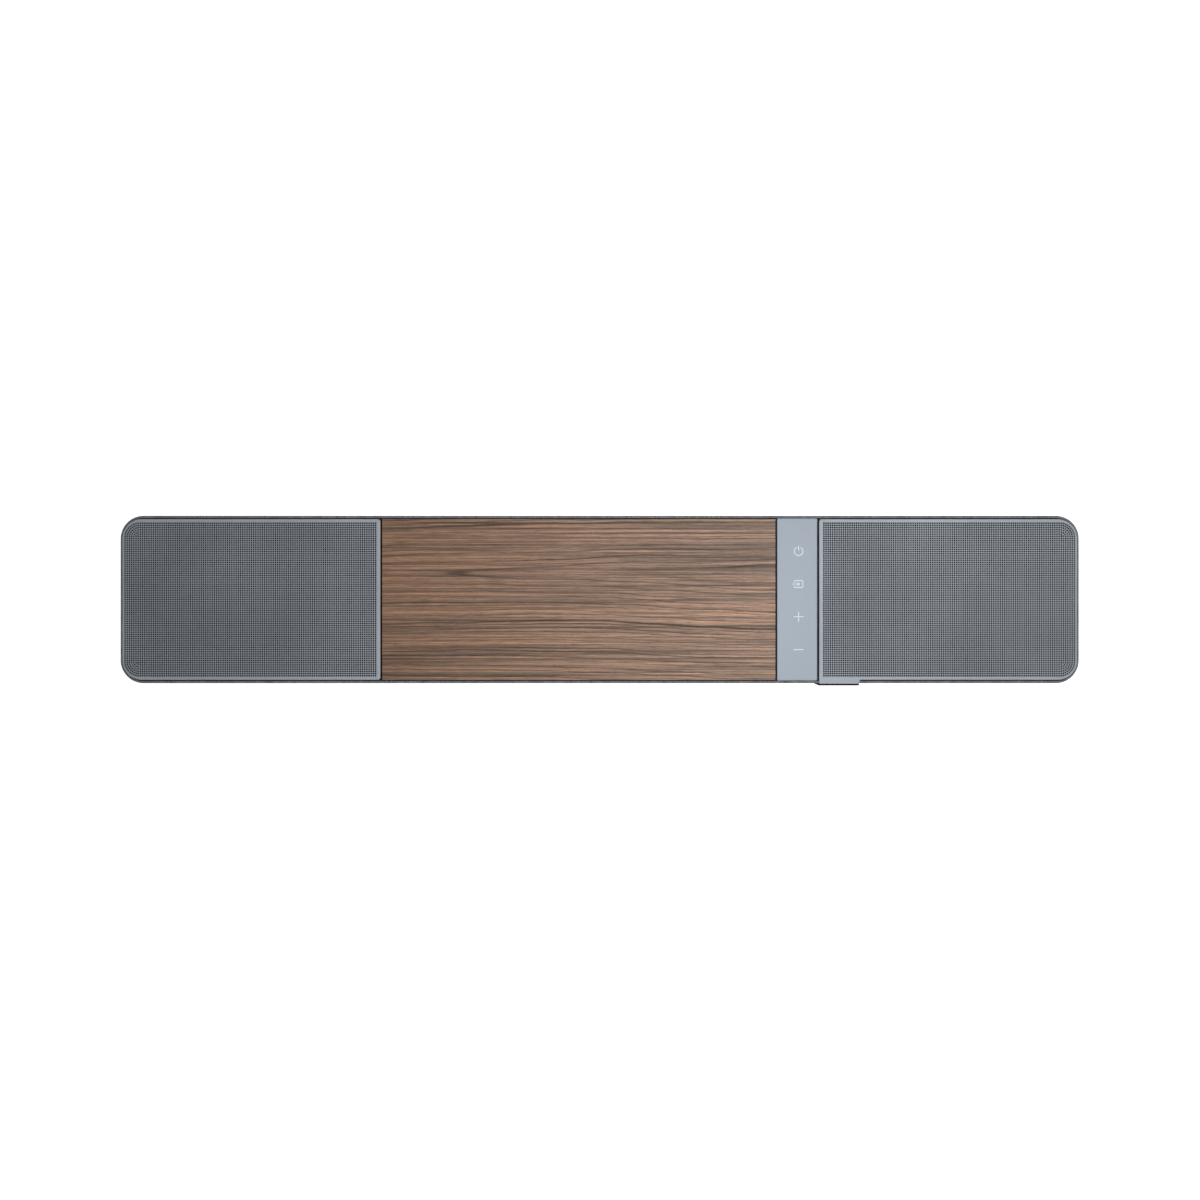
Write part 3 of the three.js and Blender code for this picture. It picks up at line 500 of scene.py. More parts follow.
warp_yarn = add(tree, "TexNoise", {"Vector": add(tree, "Mapping", {"Vector": mm_uv,
                "Scale": (1.0, 0.11, 1.0)}).outputs[0], "Scale": 1.0})
weft_yarn = add(tree, "TexNoise", {"Vector": add(tree, "Mapping", {"Vector": mm_uv,
                "Scale": (0.11, 1.0, 1.0), "Location": (31.0, 17.0, 0.0)}).outputs[0], "Scale": 1.0,
                "Detail": 2.0})
over = add(tree, "Math", {0: crossing.outputs[0], 1: 0.0}, operation="GREATER_THAN")
yarn = add(tree, "Mix", {0: over.outputs[0], 2: warp_yarn.outputs["Fac"],
           3: weft_yarn.outputs["Fac"]}, data_type="FLOAT")
heather = add(tree, "ValToRGB", {"Fac": yarn.outputs[0]})
heather.color_ramp.elements[0].position, heather.color_ramp.elements[0].color = 0.34, linear("5A5C5E")
heather.color_ramp.elements[1].position, heather.color_ramp.elements[1].color = 0.66, linear("82858A")
# Painted shade: the yarns' colour is darkened where they dip between the crossings, in the weave's hollows.
shade = add(tree, "MapRange", {"Value": height.outputs[0], "From Max": 0.5, "To Min": 0.55})
hollow_shaded_weave = add(tree, "Mix", {"Factor": 1.0, MIX_A: heather.outputs[0], MIX_B: shade.outputs[0]},
           data_type="RGBA", blend_type="MULTIPLY")
bump = add(tree, "Bump", {"Height": height.outputs[0], "Strength": 0.7, "Distance": 0.00015})
tree.links.new(hollow_shaded_weave.outputs[MIXED], shader.inputs["Base Color"])
tree.links.new(bump.outputs[0], shader.inputs["Normal"])
wear(weave, cloth)
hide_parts("fabric_wrap")

# The display window is a moulding of smoked acrylic that stands in front of the cloth
# under the grille's tab. Its light neck passes back through the wall to the display board.
smoked, tree, shader = bare_finish("satin_smoked_acrylic", IOR=1.49, Coat_Weight=0.3, Coat_Roughness=0.12)
# Acrylic that is almost black: soft-edged reflections, with a faint ripple and the finest wiping marks.
place = add(tree, "TexCoord").outputs["Object"]
ripple = add(tree, "TexNoise", {"Vector": place, "Scale": 45.0, "Detail": 1.0})
wiped = add(tree, "TexNoise", {"Vector": add(tree, "Mapping", {"Vector": place,
            "Scale": (60.0, 900.0, 900.0)}).outputs[0], "Scale": 1.0, "Detail": 3.0})
tone = add(tree, "Mix", {"Factor": ripple.outputs["Fac"], MIX_A: linear("08090B"),
           MIX_B: linear("0F1114")}, data_type="RGBA")
rough = add(tree, "MapRange", {"Value": wiped.outputs["Fac"], "To Min": 0.12, "To Max": 0.22})
bump = add(tree, "Bump", {"Height": ripple.outputs["Fac"], "Strength": 0.1, "Distance": 0.0003})
dress(tree, shader, tone, rough, bump)
eased("display_window", 0.15, smoked, segments=3)

# Each end grille is one sheet of 1 mm steel: punched with square-set holes that turn into arcs at its
# two outer corners, its edges drawn down, then powder-coated satin silver-grey. The right one runs
# on forward as a tab over the window.
GRILLE_START, GRILLE_LENGTH, GRILLE_HALF = 162.7, 191.4, 59.6
SHEET = 1.0
PITCH, HOLE = 1.616, 0.70
COLUMNS, ROWS, FAN = 116, 71, 7
FIELD_U, FIELD_V = 2.75, ROWS * PITCH / 2
SPLIT = COLUMNS // 2
LINES = [FIELD_U + PITCH * i for i in range(COLUMNS + 1)]
STEPS = [-FIELD_V + PITCH * i for i in range(ROWS + 1)]
SKIRT_FOOT = HEIGHT - 2.4
TAB_WIDTH, TAB_FRONT = 30.1, 62.55
SIDES, ROUNDING = 8, 0.6


def grille_outline(tab):
    """The grille's edge as (place, outward direction, foot of its skirt), in mm from its inner side."""
    edge = []

    def corner(cu, cv, radius, start, steps, foot):
        for i in range(steps + 1):
            a = math.radians(start + 90 * i / steps)
            out = (math.cos(a), math.sin(a))
            edge.append(((cu + radius * out[0], cv + radius * out[1]), out, foot))

    near, far = 2.0, 14.4
    if tab:
        flat = HEIGHT - SHEET
        corner(1.2, -TAB_FRONT + 1.2, 1.2, 180, 5, flat)
        edge += [((u, -TAB_FRONT), (0, -1), flat) for u in (6, 12, 18, 24)]
        corner(TAB_WIDTH - 1.2, -TAB_FRONT + 1.2, 1.2, -90, 5, flat)
        # The inside corner, where the tab leaves the grille's straight edge.
        for i in range(5):
            a = math.radians(180 - 90 * i / 4)
            centre = (TAB_WIDTH + 0.9, -GRILLE_HALF - 0.9)
            edge.append(((centre[0] + 0.9 * math.cos(a), centre[1] + 0.9 * math.sin(a)),
                         (-math.cos(a), -math.sin(a)), flat if i < 3 else SKIRT_FOOT))
        start = TAB_WIDTH + 1.5
    else:
        corner(near, -GRILLE_HALF + near, near, 180, 6, SKIRT_FOOT)
        start = near + 0.5
    edge += [((u, -GRILLE_HALF), (0, -1), SKIRT_FOOT) for u in LINES if start < u < GRILLE_LENGTH - far]
    corner(GRILLE_LENGTH - far, -GRILLE_HALF + far, far, -90, 24, SKIRT_FOOT)
    edge += [((GRILLE_LENGTH, v), (1, 0), SKIRT_FOOT) for v in STEPS if abs(v) < GRILLE_HALF - far - 0.4]
    corner(GRILLE_LENGTH - far, GRILLE_HALF - far, far, 0, 24, SKIRT_FOOT)
    edge += [((u, GRILLE_HALF), (0, 1), SKIRT_FOOT) for u in LINES[::-1]
             if near + 0.5 < u < GRILLE_LENGTH - far]
    corner(near, GRILLE_HALF - near, near, 90, 6, SKIRT_FOOT)
    edge += [((0, v), (-1, 0), SKIRT_FOOT) for v in STEPS[::-1] if abs(v) < GRILLE_HALF - near - 0.4]
    return edge


def hole_ring(u, v, turn=0.0):
    """The corners of one hole, from its centre and how far it is turned."""
    angles = [turn + math.pi / 4 * (i + 0.5) for i in range(SIDES)]
    return [(u + HOLE * math.cos(a), v + HOLE * math.sin(a)) for a in angles]


def grille_half(tab, outer):
    """One half of a grille as points (u, v, z) and faces, closed where the halves meet."""
    top, foot = HEIGHT, HEIGHT - SHEET
    points, faces, index = [], [], {}

    def point(u, v, z):
        key = (round(u, 5), round(v, 5), round(z, 5))
        if key not in index:
            index[key] = len(points)
            points.append((u, v, z))
        return index[key]

    def both_sides(corners, lower=None):
        faces.append([point(u, v, top) for u, v in corners])
        faces.append([point(u, v, foot) for u, v in (lower or corners)][::-1])

    def hole_wall(ring):
        for i in range(SIDES):
            a, b = ring[i], ring[(i + 1) % SIDES]
            faces.append([point(*a, top), point(*a, foot), point(*b, foot), point(*b, top)])

    # The square-set holes, less a block of cells at each outer corner.
    first, last = (SPLIT, COLUMNS) if outer else (0, SPLIT)
    for c in range(first, last):
        for r in range(ROWS):
            if c >= COLUMNS - FAN and (r < FAN or r >= ROWS - FAN):
                continue
            u0, v0, u1, v1 = LINES[c], STEPS[r], LINES[c + 1], STEPS[r + 1]
            ring = hole_ring((u0 + u1) / 2, (v0 + v1) / 2)
            square = [(u1, v1), (u0, v1), (u0, v0), (u1, v0)]
            # Ring points 0 and 1 face the first corner's sides, and so on round.
            for k in range(4):
                a, b = square[k], square[(k + 1) % 4]
                i = 2 * k
                both_sides([a, ring[(i + 1) % SIDES], ring[i]])
                both_sides([a, b, ring[(i + 2) % SIDES], ring[(i + 1) % SIDES]])
            hole_wall(ring)

    # The plain border and the fans, meshed together between the field's edge and the outline.
    edge = grille_outline(tab)
    u_split = LINES[SPLIT]
    kept = [e for e in edge if (e[0][0] > u_split - 1e-6 if outer else e[0][0] < u_split + 1e-6)]
    # It starts on the split and ends on it: an outer half at the front, an inner half at the rear.
    on_split = [abs(e[0][0] - u_split) < 1e-6 for e in kept]
    if outer:
        start = next(i for i in range(len(kept)) if on_split[i] and on_split[i - 1])
    else:
        start = next(i for i, e in enumerate(kept) if on_split[i] and e[0][1] > 0)
    kept = kept[start:] + kept[:start]
    upper = [(p[0] - n[0] * ROUNDING, p[1] - n[1] * ROUNDING) for p, n, _ in kept]
    lower = [(p[0] - n[0] * SHEET, p[1] - n[1] * SHEET) for p, n, _ in kept]
    fan_u, fan_v = LINES[COLUMNS - FAN], FIELD_V - PITCH * FAN
    if outer:
        # Anticlockwise from the outline's last point, along the split and round the field's edge.
        stair = [(LINES[i], FIELD_V) for i in range(SPLIT, COLUMNS - FAN + 1)]
        stair += [(fan_u, FIELD_V - PITCH * i) for i in range(1, FAN + 1)]
        stair += [(fan_u + PITCH * i, fan_v) for i in range(1, FAN + 1)]
        stair += [(LINES[-1], v) for v in STEPS[::-1] if -fan_v - 1e-6 < v < fan_v - 1e-6]
        stair += [(fan_u + PITCH * (FAN - i), -fan_v) for i in range(1, FAN + 1)]
        stair += [(fan_u, -fan_v - PITCH * i) for i in range(1, FAN + 1)]
        stair += [(LINES[i], -FIELD_V) for i in range(COLUMNS - FAN - 1, SPLIT - 1, -1)]
    else:
        stair = [(LINES[i], -FIELD_V) for i in range(SPLIT, -1, -1)]
        stair += [(LINES[0], v) for v in STEPS[1:]]
        stair += [(LINES[i], FIELD_V) for i in range(1, SPLIT + 1)]
    rings = []
    if outer:
        for sign in (1, -1):
            for k in range(FAN):
                radius = (FAN - k - 0.5) * PITCH
                count = max(1, round(math.pi * radius / 2 / PITCH))
                if count == 1:
                    radius = PITCH / math.sqrt(2)
                for i in range(count):
                    a = (i + 0.5) / count * math.pi / 2
                    u, v = fan_u + radius * math.cos(a), sign * (fan_v + radius * math.sin(a))
                    rings.append(hole_ring(u, v, sign * a))
    loop = upper + stair
    flat = loop + [p for ring in rings for p in ring]
    cuts = [(i, (i + 1) % len(loop)) for i in range(len(loop))]
    holes = []
    for k in range(len(rings)):
        base = len(loop) + SIDES * k
        holes.append((base, base + SIDES))
        cuts += [(base + i, base + (i + 1) % SIDES) for i in range(SIDES)]
    made, _, found, origins, _, _ = delaunay_2d_cdt([Vector(p) for p in flat], cuts, [], 0, 1e-7)
    below = lower + loop[len(lower):] + flat[len(loop):]
    for triangle in found:
        if any(not origins[i] for i in triangle):
            raise ValueError(f"the border's lines cross near {[tuple(made[i]) for i in triangle]}")
        triangle = [origins[i][0] for i in triangle]
        if any(min(triangle) >= a and max(triangle) < b for a, b in holes):
            continue
        cu = sum(flat[i][0] for i in triangle) / 3
        cv = sum(flat[i][1] for i in triangle) / 3
        if not inside(cu, cv, loop):
            continue
        both_sides([flat[i] for i in triangle], [below[i] for i in triangle])
    for ring in rings:
        hole_wall(ring)

    # The edge: rounded over, down the skirt, and up its inside to the sheet's lower face.
    profile = [(ROUNDING - ROUNDING * math.sin(a), HEIGHT - ROUNDING + ROUNDING * math.cos(a))
               for a in (math.radians(18 * i) for i in range(6))]
    for i in range(len(kept) - 1):
        columns = []
        for p, n, low in kept[i:i + 2]:
            skirt = profile + [(0.0, low), (SHEET, low), (SHEET, foot)]
            columns.append([point(p[0] - n[0] * inset, p[1] - n[1] * inset, z) for inset, z in skirt])
        for k in range(len(columns[0]) - 1):
            faces.append([columns[0][k], columns[0][k + 1], columns[1][k + 1], columns[1][k]])

    # The halves' common face.
    for sign in (1, -1):
        at = kept[0] if (kept[0][0][1] > 0) == (sign > 0) else kept[-1]
        skirt = profile + [(0.0, SKIRT_FOOT), (SHEET, SKIRT_FOOT), (SHEET, foot)]
        outlined = [(sign * (abs(at[0][1]) - inset), z) for inset, z in skirt]
        outlined += [(sign * FIELD_V, foot), (sign * FIELD_V, top)]
        faces.append([point(u_split, v, z) for v, z in outlined])
    for v0, v1 in zip(STEPS, STEPS[1:]):
        faces.append([point(u_split, v0, top), point(u_split, v1, top), point(u_split, v1, foot),
                      point(u_split, v0, foot)])
    return points, faces


def inside(u, v, loop):
    """True if a point is inside a closed loop, by counting the edges to one side of it."""
    odd = False
    for i in range(len(loop)):
        (u0, v0), (u1, v1) = loop[i - 1], loop[i]
        if (v0 > v) != (v1 > v) and u < (u1 - u0) * (v - v0) / (v1 - v0) + u0:
            odd = not odd
    return odd


satin_coat, tree, shader = bare_finish("satin_silver_powder_coat", IOR=1.5, Metallic=0.25)
# Satin polyester powder with fine aluminium flake: pale, half metallic, with a slight orange peel.
place = add(tree, "TexCoord").outputs["Object"]
flake = add(tree, "TexNoise", {"Vector": place, "Scale": 2600.0})
cloud = add(tree, "TexNoise", {"Vector": place, "Scale": 14.0, "Detail": 3.0})
peel = add(tree, "TexNoise", {"Vector": place, "Scale": 900.0})
base = add(tree, "Mix", {"Factor": flake.outputs["Fac"], MIX_A: linear("999FA6"),
           MIX_B: linear("A9AFB7")}, data_type="RGBA")
tone = add(tree, "Mix", {"Factor": 0.25, MIX_A: base.outputs[MIXED], MIX_B: cloud.outputs["Fac"]},
           data_type="RGBA", blend_type="OVERLAY")
rough = add(tree, "MapRange", {"Value": flake.outputs["Fac"], "To Min": 0.36, "To Max": 0.5})
bump = add(tree, "Bump", {"Height": peel.outputs["Fac"], "Strength": 0.2, "Distance": 0.00005})
dress(tree, shader, tone, rough, bump)

LAID_SIZE, LAID_FRONT = 130, 63
for side, sign in (("left", -1), ("right", 1)):
    for part, outer in (("inner", False), ("outer", True)):
        points, faces = grille_half(sign > 0, outer)
        points = [(sign * (GRILLE_START + u), Y_MID + v, z) for u, v, z in points]
        sheet_half = make(f"{side}_grille_sheet_{part}", points, faces, "cabinet")
        # Laid flat for its finish: every face is mapped from straight above.
        flat_map = sheet_half.data.uv_layers.new(name="OFBake")
        low_x = min(p[0] for p in points)
        for loop in sheet_half.data.loops:
            p = sheet_half.data.vertices[loop.vertex_index].co * 1000
            flat_map.data[loop.index].uv = ((p.x - low_x) / LAID_SIZE, (p.y + LAID_FRONT) / LAID_SIZE)
        wear(satin_coat, sheet_half)
        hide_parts(f"{side}_top_grille")

# The wood panel is a board faced with real walnut, plain-sliced, its grain running along the bar.
# It is let in between the grilles with its edges just eased, and it is oiled matt.
WOOD_LEFT, WOOD_RIGHT, WOOD_FOOT = -161.5, 130.4, 73.0


def eased_plate(name, x0, x1, y0, y1, z0, z1, corner, ease, body):
    """A flat panel with small corner radii in plan and an eased top edge."""
    def ring(inset, z):
        radius = max(corner - inset, 0.05)
        loop = []
        for cx, cy, start in ((x1 - corner, y0 + corner, -90), (x1 - corner, y1 - corner, 0),
                              (x0 + corner, y1 - corner, 90), (x0 + corner, y0 + corner, 180)):
            for i in range(5):
                a = math.radians(start + 22.5 * i)
                loop.append((cx + radius * math.cos(a), cy + radius * math.sin(a), z))
        return loop
    rings = [ring(ease * 0.5, z0), ring(0, z0 + ease * 0.5)]
    rings += [ring(ease * (1 - math.cos(a)), z1 - ease + ease * math.sin(a))
              for a in (math.radians(15 * i) for i in range(7))]
    points, faces = lofted(rings)
    return make(name, points, faces, body)


veneer, tree, shader = bare_finish("oiled_walnut_veneer", IOR=1.5)
# Plain-sliced walnut: growth rings cut nearly flat, so that they run straight at the sides and close
# into long arches in the rear half. Late wood is dark and sharp on one side, pores are short dashes,
# and the oil leaves it matt.
RING = 3.4
place = add(tree, "TexCoord").outputs["Object"]
at = add(tree, "VectorMath", {0: place, "Scale": 1000.0}, operation="SCALE").outputs[0]
parts = add(tree, "SeparateXYZ", {0: at})


def grain_noise(size_x, size_y, detail=2.0, roughness=0.5, offset=0.0):
    """Noise stretched along the grain, from its size along and across it in mm."""
    laid = add(tree, "Mapping", {"Vector": at, "Scale": (1 / size_x, 1 / size_y, 1 / size_y),
               "Location": (offset, offset, offset)})
    return add(tree, "TexNoise", {"Vector": laid.outputs[0], "Scale": 1.0, "Detail": detail,
               "Roughness": roughness}).outputs["Fac"]


wander = add(tree, "Math", {0: grain_noise(210, 60, 2.0, 0.4), 1: 16.0, 2: -8.0},
             operation="MULTIPLY_ADD")
quiver = add(tree, "Math", {0: grain_noise(46, 8, 3.0, 0.55, 7.0), 1: 3.0, 2: -1.5},
             operation="MULTIPLY_ADD")
strayed = add(tree, "Math", {0: wander.outputs[0], 1: quiver.outputs[0]}, operation="ADD")
# The heart of the arches runs at this place across the sheet, and their tips are this blunt.
HEART, BLUNT = 19.0, 7.0
from_heart = add(tree, "Math", {0: parts.outputs[1], 1: HEART}, operation="SUBTRACT")
across = add(tree, "Math", {0: from_heart.outputs[0], 1: strayed.outputs[0]}, operation="ADD")
squared = add(tree, "Math", {0: across.outputs[0], 1: across.outputs[0], 2: BLUNT ** 2},
              operation="MULTIPLY_ADD")
reach = add(tree, "Math", {0: squared.outputs[0]}, operation="SQRT")
# The rings close in along the bar by this much a millimetre, which draws the arches out.
TAPER = 0.022
ring_place = add(tree, "Math", {0: parts.outputs[0], 1: -TAPER, 2: reach.outputs[0]},
                 operation="MULTIPLY_ADD").outputs[0]
year = add(tree, "Math", {0: ring_place, 1: 7.0}, operation="DIVIDE")
years = add(tree, "TexNoise", {"W": year.outputs[0], "Scale": 1.0},
            noise_dimensions="1D")
uneven = add(tree, "Math", {0: years.outputs["Fac"], 1: 2.2, 2: -1.1}, operation="MULTIPLY_ADD")
even = add(tree, "Math", {0: ring_place, 1: RING}, operation="DIVIDE")
ring_count = add(tree, "Math", {0: even.outputs[0], 1: uneven.outputs[0]}, operation="ADD")
phase = add(tree, "Math", {0: ring_count.outputs[0]}, operation="FRACT").outputs[0]
late = add(tree, "ValToRGB", {"Fac": phase})
ramp = late.color_ramp
ramp.elements[0].position, ramp.elements[0].color = 0.0, (0.45, 0.45, 0.45, 1)
ramp.elements[1].position, ramp.elements[1].color = 1.0, (0.45, 0.45, 0.45, 1)
for position, value in ((0.10, 0.08), (0.45, 0.0), (0.78, 0.25), (0.90, 1.0), (0.97, 0.95)):
    stop = ramp.elements.new(position)
    stop.color = (value, value, value, 1)
# Between the rings the tone runs in streaks, from grey-brown to orange-tan, a millimetre or two wide.
streaks = add(tree, "Mix", {"Factor": 0.2, 2: grain_noise(260, 1.7, 5.0, 0.72, 3.0),
              3: grain_noise(420, 16, 2.0, 0.5, 13.0)}, data_type="FLOAT")
streak_tone = add(tree, "ValToRGB", {"Fac": streaks.outputs[0]})
ramp = streak_tone.color_ramp
ramp.elements[0].position, ramp.elements[0].color = 0.36, linear("5E4F46")
ramp.elements[1].position, ramp.elements[1].color = 0.64, linear("BC8F70")
for position, code in ((0.45, "7E685A"), (0.53, "9C7D69")):
    stop = ramp.elements.new(position)
    stop.color = linear(code)
# Painted light: the sheet is made darker and more orange towards its left end and paler and pinker towards
# its right, as the stronger light and sheen from the right would make it.
painted_light_share = add(tree, "MapRange", {"Value": parts.outputs[0], "From Min": -161.0,
                "From Max": 130.0})
painted_light_tone = add(tree, "Mix", {"Factor": painted_light_share.outputs[0], MIX_A: (0.77, 0.74, 0.69, 1),
               MIX_B: (1.04, 1.13, 1.22, 1)}, data_type="RGBA")
painted_light_streaks = add(tree, "Mix", {"Factor": 1.0, MIX_A: streak_tone.outputs[0],
            MIX_B: painted_light_tone.outputs[MIXED]}, data_type="RGBA", blend_type="MULTIPLY")
patches = add(tree, "MapRange", {"Value": grain_noise(120, 9, 2.0, 0.5, 19.0), "From Min": 0.3,
              "From Max": 0.7, "To Min": 0.35})
late_strength = add(tree, "Math", {0: late.outputs[0], 1: patches.outputs[0]},
                    operation="MULTIPLY").outputs[0]
# Between two rings run thin dark lines of their own, fainter and a hair wide.
hair = add(tree, "MapRange", {"Value": grain_noise(170, 1.15, 2.0, 0.6, 31.0), "From Min": 0.54,
           "From Max": 0.66, "To Max": 0.7})
dark_line = add(tree, "Math", {0: late_strength, 1: hair.outputs[0]}, operation="MAXIMUM")
ringed = add(tree, "Mix", {"Factor": dark_line.outputs[0], MIX_A: painted_light_streaks.outputs[MIXED],
             MIX_B: linear("42362F")}, data_type="RGBA")
# The fibre, 0.5 mm wide and drawn a little coarser than it is.
fibre = add(tree, "MapRange", {"Value": grain_noise(14, 0.6, 4.0, 0.68, 23.0), "From Min": 0.3,
            "From Max": 0.7, "To Min": 0.64, "To Max": 1.36})
fibred = add(tree, "Mix", {"Factor": 1.0, MIX_A: ringed.outputs[MIXED], MIX_B: fibre.outputs[0]},
             data_type="RGBA", blend_type="MULTIPLY")
pores = add(tree, "MapRange", {"Value": grain_noise(4.5, 0.32, 1.0, 0.5, 41.0), "From Min": 0.66,
            "From Max": 0.74})
pore_share = add(tree, "Math", {0: pores.outputs[0], 1: 0.6}, operation="MULTIPLY")
pored = add(tree, "Mix", {"Factor": pore_share.outputs[0],
            MIX_A: fibred.outputs[MIXED], MIX_B: linear("3A2B23")}, data_type="RGBA")
rough = add(tree, "MapRange", {"Value": late_strength, "To Min": 0.5, "To Max": 0.64})
relief = add(tree, "Math", {0: fibre.outputs[0], 1: pores.outputs[0]}, operation="SUBTRACT")
bump = add(tree, "Bump", {"Height": relief.outputs[0], "Strength": 0.3, "Distance": 0.00008})
tree.links.new(pored.outputs[MIXED], shader.inputs["Base Color"])
tree.links.new(rough.outputs[0], shader.inputs["Roughness"])
tree.links.new(bump.outputs[0], shader.inputs["Normal"])

wood = eased_plate("walnut_panel", WOOD_LEFT, WOOD_RIGHT, Y_FRONT + 2.5, Y_REAR - 2.5, WOOD_FOOT, HEIGHT,
                   0.6, 0.35, "cabinet")
wear(veneer, wood)
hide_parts("wood_panel")

# The touch strip is a flat ABS moulding sprayed a satin blue-grey metallic, over its touch board. Its
# four symbols are printed proud in pale ink: power, source, louder and softer.
STRIP_LEFT, STRIP_RIGHT = 131.5, 161.4
strip_paint, tree, shader = bare_finish("satin_metallic_paint", IOR=1.5, Metallic=0.2, Coat_Weight=0.15,
                                        Coat_Roughness=0.3)
# Sprayed metallic lacquer: even, satin, with a fine sparkle of flake.
place = add(tree, "TexCoord").outputs["Object"]
flake = add(tree, "TexNoise", {"Vector": place, "Scale": 3200.0})
tone = add(tree, "Mix", {"Factor": flake.outputs["Fac"], MIX_A: linear("959EA8"),
           MIX_B: linear("A6AFB9")}, data_type="RGBA")
rough = add(tree, "MapRange", {"Value": flake.outputs["Fac"], "To Min": 0.34, "To Max": 0.44})
bump = add(tree, "Bump", {"Height": flake.outputs["Fac"], "Strength": 0.1, "Distance": 0.00003})
dress(tree, shader, tone, rough, bump)
strip = eased_plate("touch_strip_plate", STRIP_LEFT, STRIP_RIGHT, Y_FRONT + 2.1, Y_REAR - 2.1, 75.6,
                    HEIGHT, 0.9, 0.7, "cabinet")
wear(strip_paint, strip)
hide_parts("touch_strip")

pale_ink = clouded("pale_screen_ink", "D2DAE2", "DEE5EC", 1500.0, 0.5, 0.05)
SYMBOL_X, INK, STROKE = 147.5, 0.06, 0.6


def stroke(path, closed=False):
    """Points and faces of a printed line that follows a path at the stroke's width."""
    rings = []
    count = len(path)
    for i, (x, y) in enumerate(path):
        before = path[i - 1] if closed or i else path[i]
        after = path[(i + 1) % count] if closed or i < count - 1 else path[i]
        way = Vector((after[0] - before[0], after[1] - before[1])).normalized()
        side = Vector((-way.y, way.x)) * STROKE / 2
        low, high = HEIGHT - 0.05, HEIGHT + INK
        rings.append([(x + side.x, y + side.y, low), (x + side.x * 0.9, y + side.y * 0.9, high),
                      (x - side.x * 0.9, y - side.y * 0.9, high), (x - side.x, y - side.y, low)])
    return looped(rings) if closed else lofted(rings)


def arc_path(x, y, radius, start, end, steps):
    """Points on an arc about a centre, from one angle to another in degrees."""
    turns = [math.radians(start + (end - start) * i / steps) for i in range(steps + 1)]
    return [(x + radius * math.cos(a), y + radius * math.sin(a)) for a in turns]


def symbol(name, *strokes):
    """One printed symbol, from its strokes."""
    points, faces = [], []
    for more_points, more_faces in strokes:
        faces += [tuple(i + len(points) for i in face) for face in more_faces]
        points += more_points
    print_piece = make(name, points, faces, "cabinet")
    wear(pale_ink, print_piece)


POWER_Y, SOURCE_Y, LOUDER_Y, SOFTER_Y, ARM = 36.6, 12.3, -11.9, -36.3, 3.7
symbol("power_symbol", stroke(arc_path(SYMBOL_X, POWER_Y, 3.2, 118, 422, 40)),
       stroke([(SYMBOL_X, POWER_Y + 0.6), (SYMBOL_X, POWER_Y + 4.0)]))

# The source symbol is an arrow that passes in through the gap in a rounded frame.
FRAME, TURN = 3.2, 0.9
left, right = SYMBOL_X - FRAME, SYMBOL_X + FRAME
low, high = SOURCE_Y - FRAME + 0.6, SOURCE_Y + FRAME - 0.6
frame_path = [(left, SOURCE_Y + 1.2), (left, high - TURN)]
frame_path += arc_path(left + TURN, high - TURN, TURN, 180, 90, 5)[1:]
frame_path += arc_path(right - TURN, high - TURN, TURN, 90, 0, 5)
frame_path += arc_path(right - TURN, low + TURN, TURN, 0, -90, 5)
frame_path += arc_path(left + TURN, low + TURN, TURN, 270, 180, 5) + [(left, SOURCE_Y - 1.2)]
symbol("source_symbol", stroke(frame_path), stroke([(SYMBOL_X - 5.0, SOURCE_Y), (SYMBOL_X + 0.6, SOURCE_Y)]),
       stroke([(SYMBOL_X + x, SOURCE_Y + y) for x, y in ((-0.9, 1.5), (0.8, 0), (-0.9, -1.5))]))

symbol("louder_symbol", stroke([(SYMBOL_X - ARM, LOUDER_Y), (SYMBOL_X + ARM, LOUDER_Y)]),
       stroke([(SYMBOL_X, LOUDER_Y - ARM), (SYMBOL_X, LOUDER_Y - 0.4)]),
       stroke([(SYMBOL_X, LOUDER_Y + 0.4), (SYMBOL_X, LOUDER_Y + ARM)]))
symbol("softer_symbol", stroke([(SYMBOL_X - ARM, SOFTER_Y), (SYMBOL_X + ARM, SOFTER_Y)]))

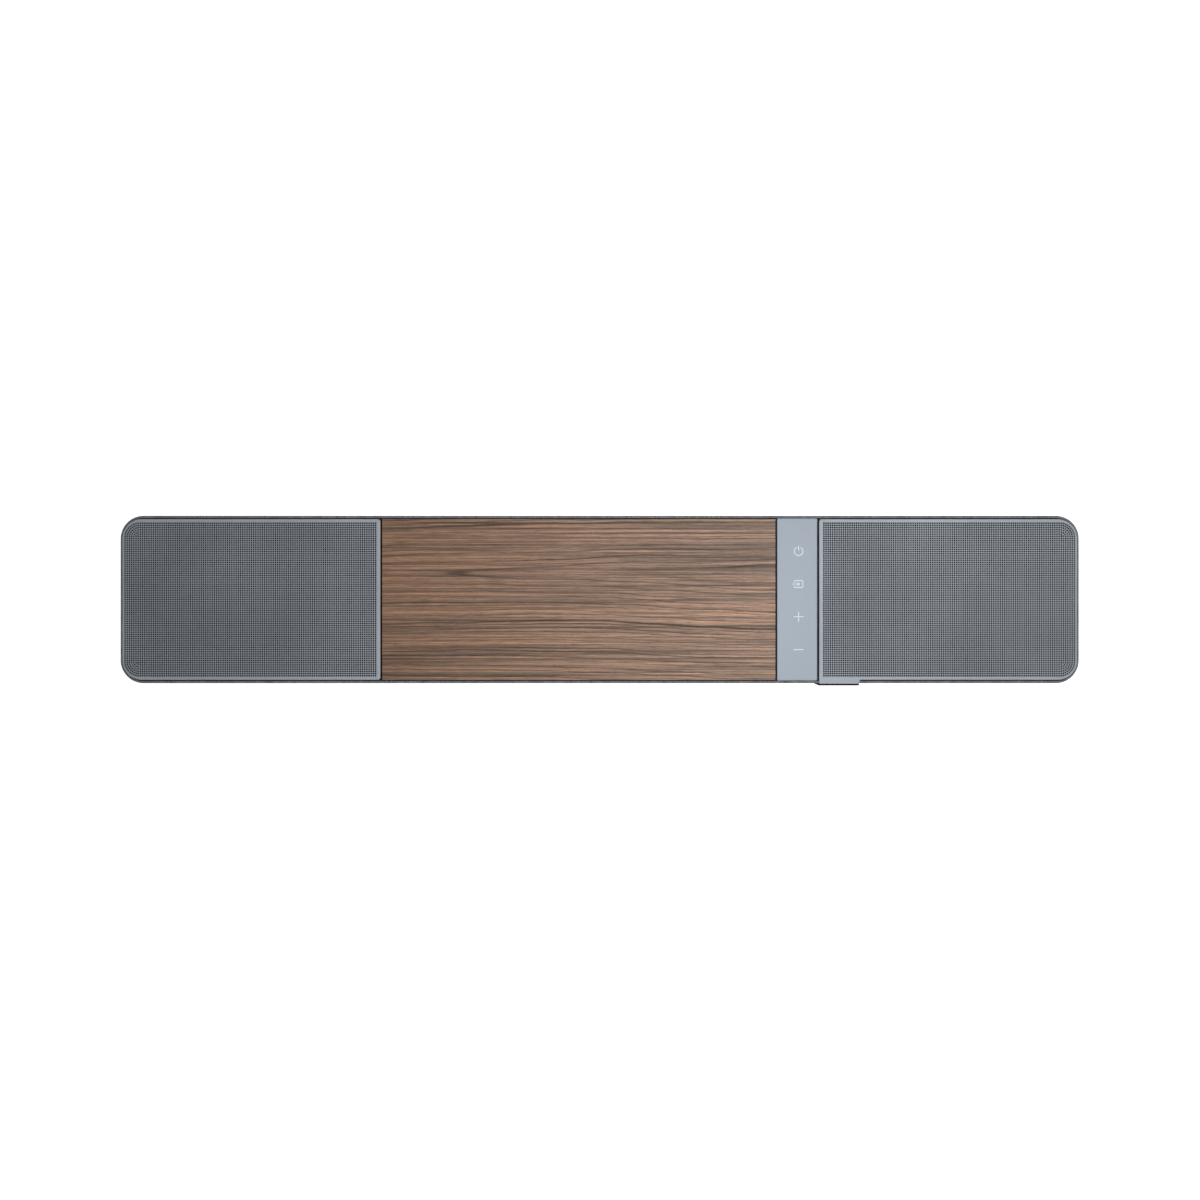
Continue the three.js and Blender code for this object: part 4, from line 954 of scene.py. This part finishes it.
# A pale seamless table in a plain studio, lit softly from all round and a little more from the right.
TABLE = 6000
floor = plain_object("table_top", [(-TABLE, -TABLE, 0), (TABLE, -TABLE, 0), (TABLE, TABLE, 0),
                     (-TABLE, TABLE, 0)], [(0, 1, 2, 3)])
pale_table, tree, shader = bare_finish("pale_table", Roughness=0.9, Emission_Strength=0.85)
place = add(tree, "TexCoord").outputs["Object"]
cloud = add(tree, "TexNoise", {"Vector": place, "Scale": 1.5})
tone = add(tree, "Mix", {"Factor": cloud.outputs["Fac"], MIX_A: linear("F4F4F4"),
           MIX_B: linear("F8F8F8")}, data_type="RGBA")
tree.links.new(tone.outputs[MIXED], shader.inputs["Base Color"])
shader.inputs["Emission Color"].default_value = (1, 1, 1, 1)
wear(pale_table, floor)

scene = bpy.context.scene
world = bpy.data.worlds.new("studio")
world.use_nodes = True
world.node_tree.nodes["Background"].inputs[0].default_value = (1.0, 1.0, 1.0, 1.0)
world.node_tree.nodes["Background"].inputs[1].default_value = 0.2
scene.world = world

# One soft box high over the right half, which shows neither to the camera nor in a reflection.
SOFT_BOX_X, SOFT_BOX_Z = 0.15, 0.85
light = bpy.data.lights.new("overhead_soft_box", "AREA")
light.shape, light.size, light.energy = "SQUARE", 0.45, 6.8
soft_box = bpy.data.objects.new("overhead_soft_box", light)
scene.collection.objects.link(soft_box)
soft_box.location = (SOFT_BOX_X, 0.0, SOFT_BOX_Z)
soft_box.visible_camera = soft_box.visible_glossy = False

# A white wall all round, far behind, which only the camera sees.
WALL_RADIUS, WALL_SIDES = 5800, 72
turns = [2 * math.pi * i / WALL_SIDES for i in range(WALL_SIDES)]
wall_points = [(WALL_RADIUS * math.cos(a), WALL_RADIUS * math.sin(a), z) for z in (-100, 4500) for a in turns]
wall_faces = [(i, (i + 1) % WALL_SIDES, WALL_SIDES + (i + 1) % WALL_SIDES, WALL_SIDES + i)
              for i in range(WALL_SIDES)]
wall = plain_object("studio_wall", wall_points, wall_faces)
wear(pale_table, wall)
wall.visible_diffuse = wall.visible_glossy = wall.visible_transmission = wall.visible_shadow = False

# The camera looks straight down on the middle of the bar, with a frame this wide at the panels.
camera_data = bpy.data.cameras.new("camera")
camera = bpy.data.objects.new("camera", camera_data)
scene.collection.objects.link(camera)
camera_data.lens = 85
FRAME_WIDTH = 0.890
distance = FRAME_WIDTH * camera_data.lens / camera_data.sensor_width
camera.location = (0.0002, 0.00046, HEIGHT / 1000 + distance)
scene.camera = camera
scene.view_settings.view_transform = "Standard"
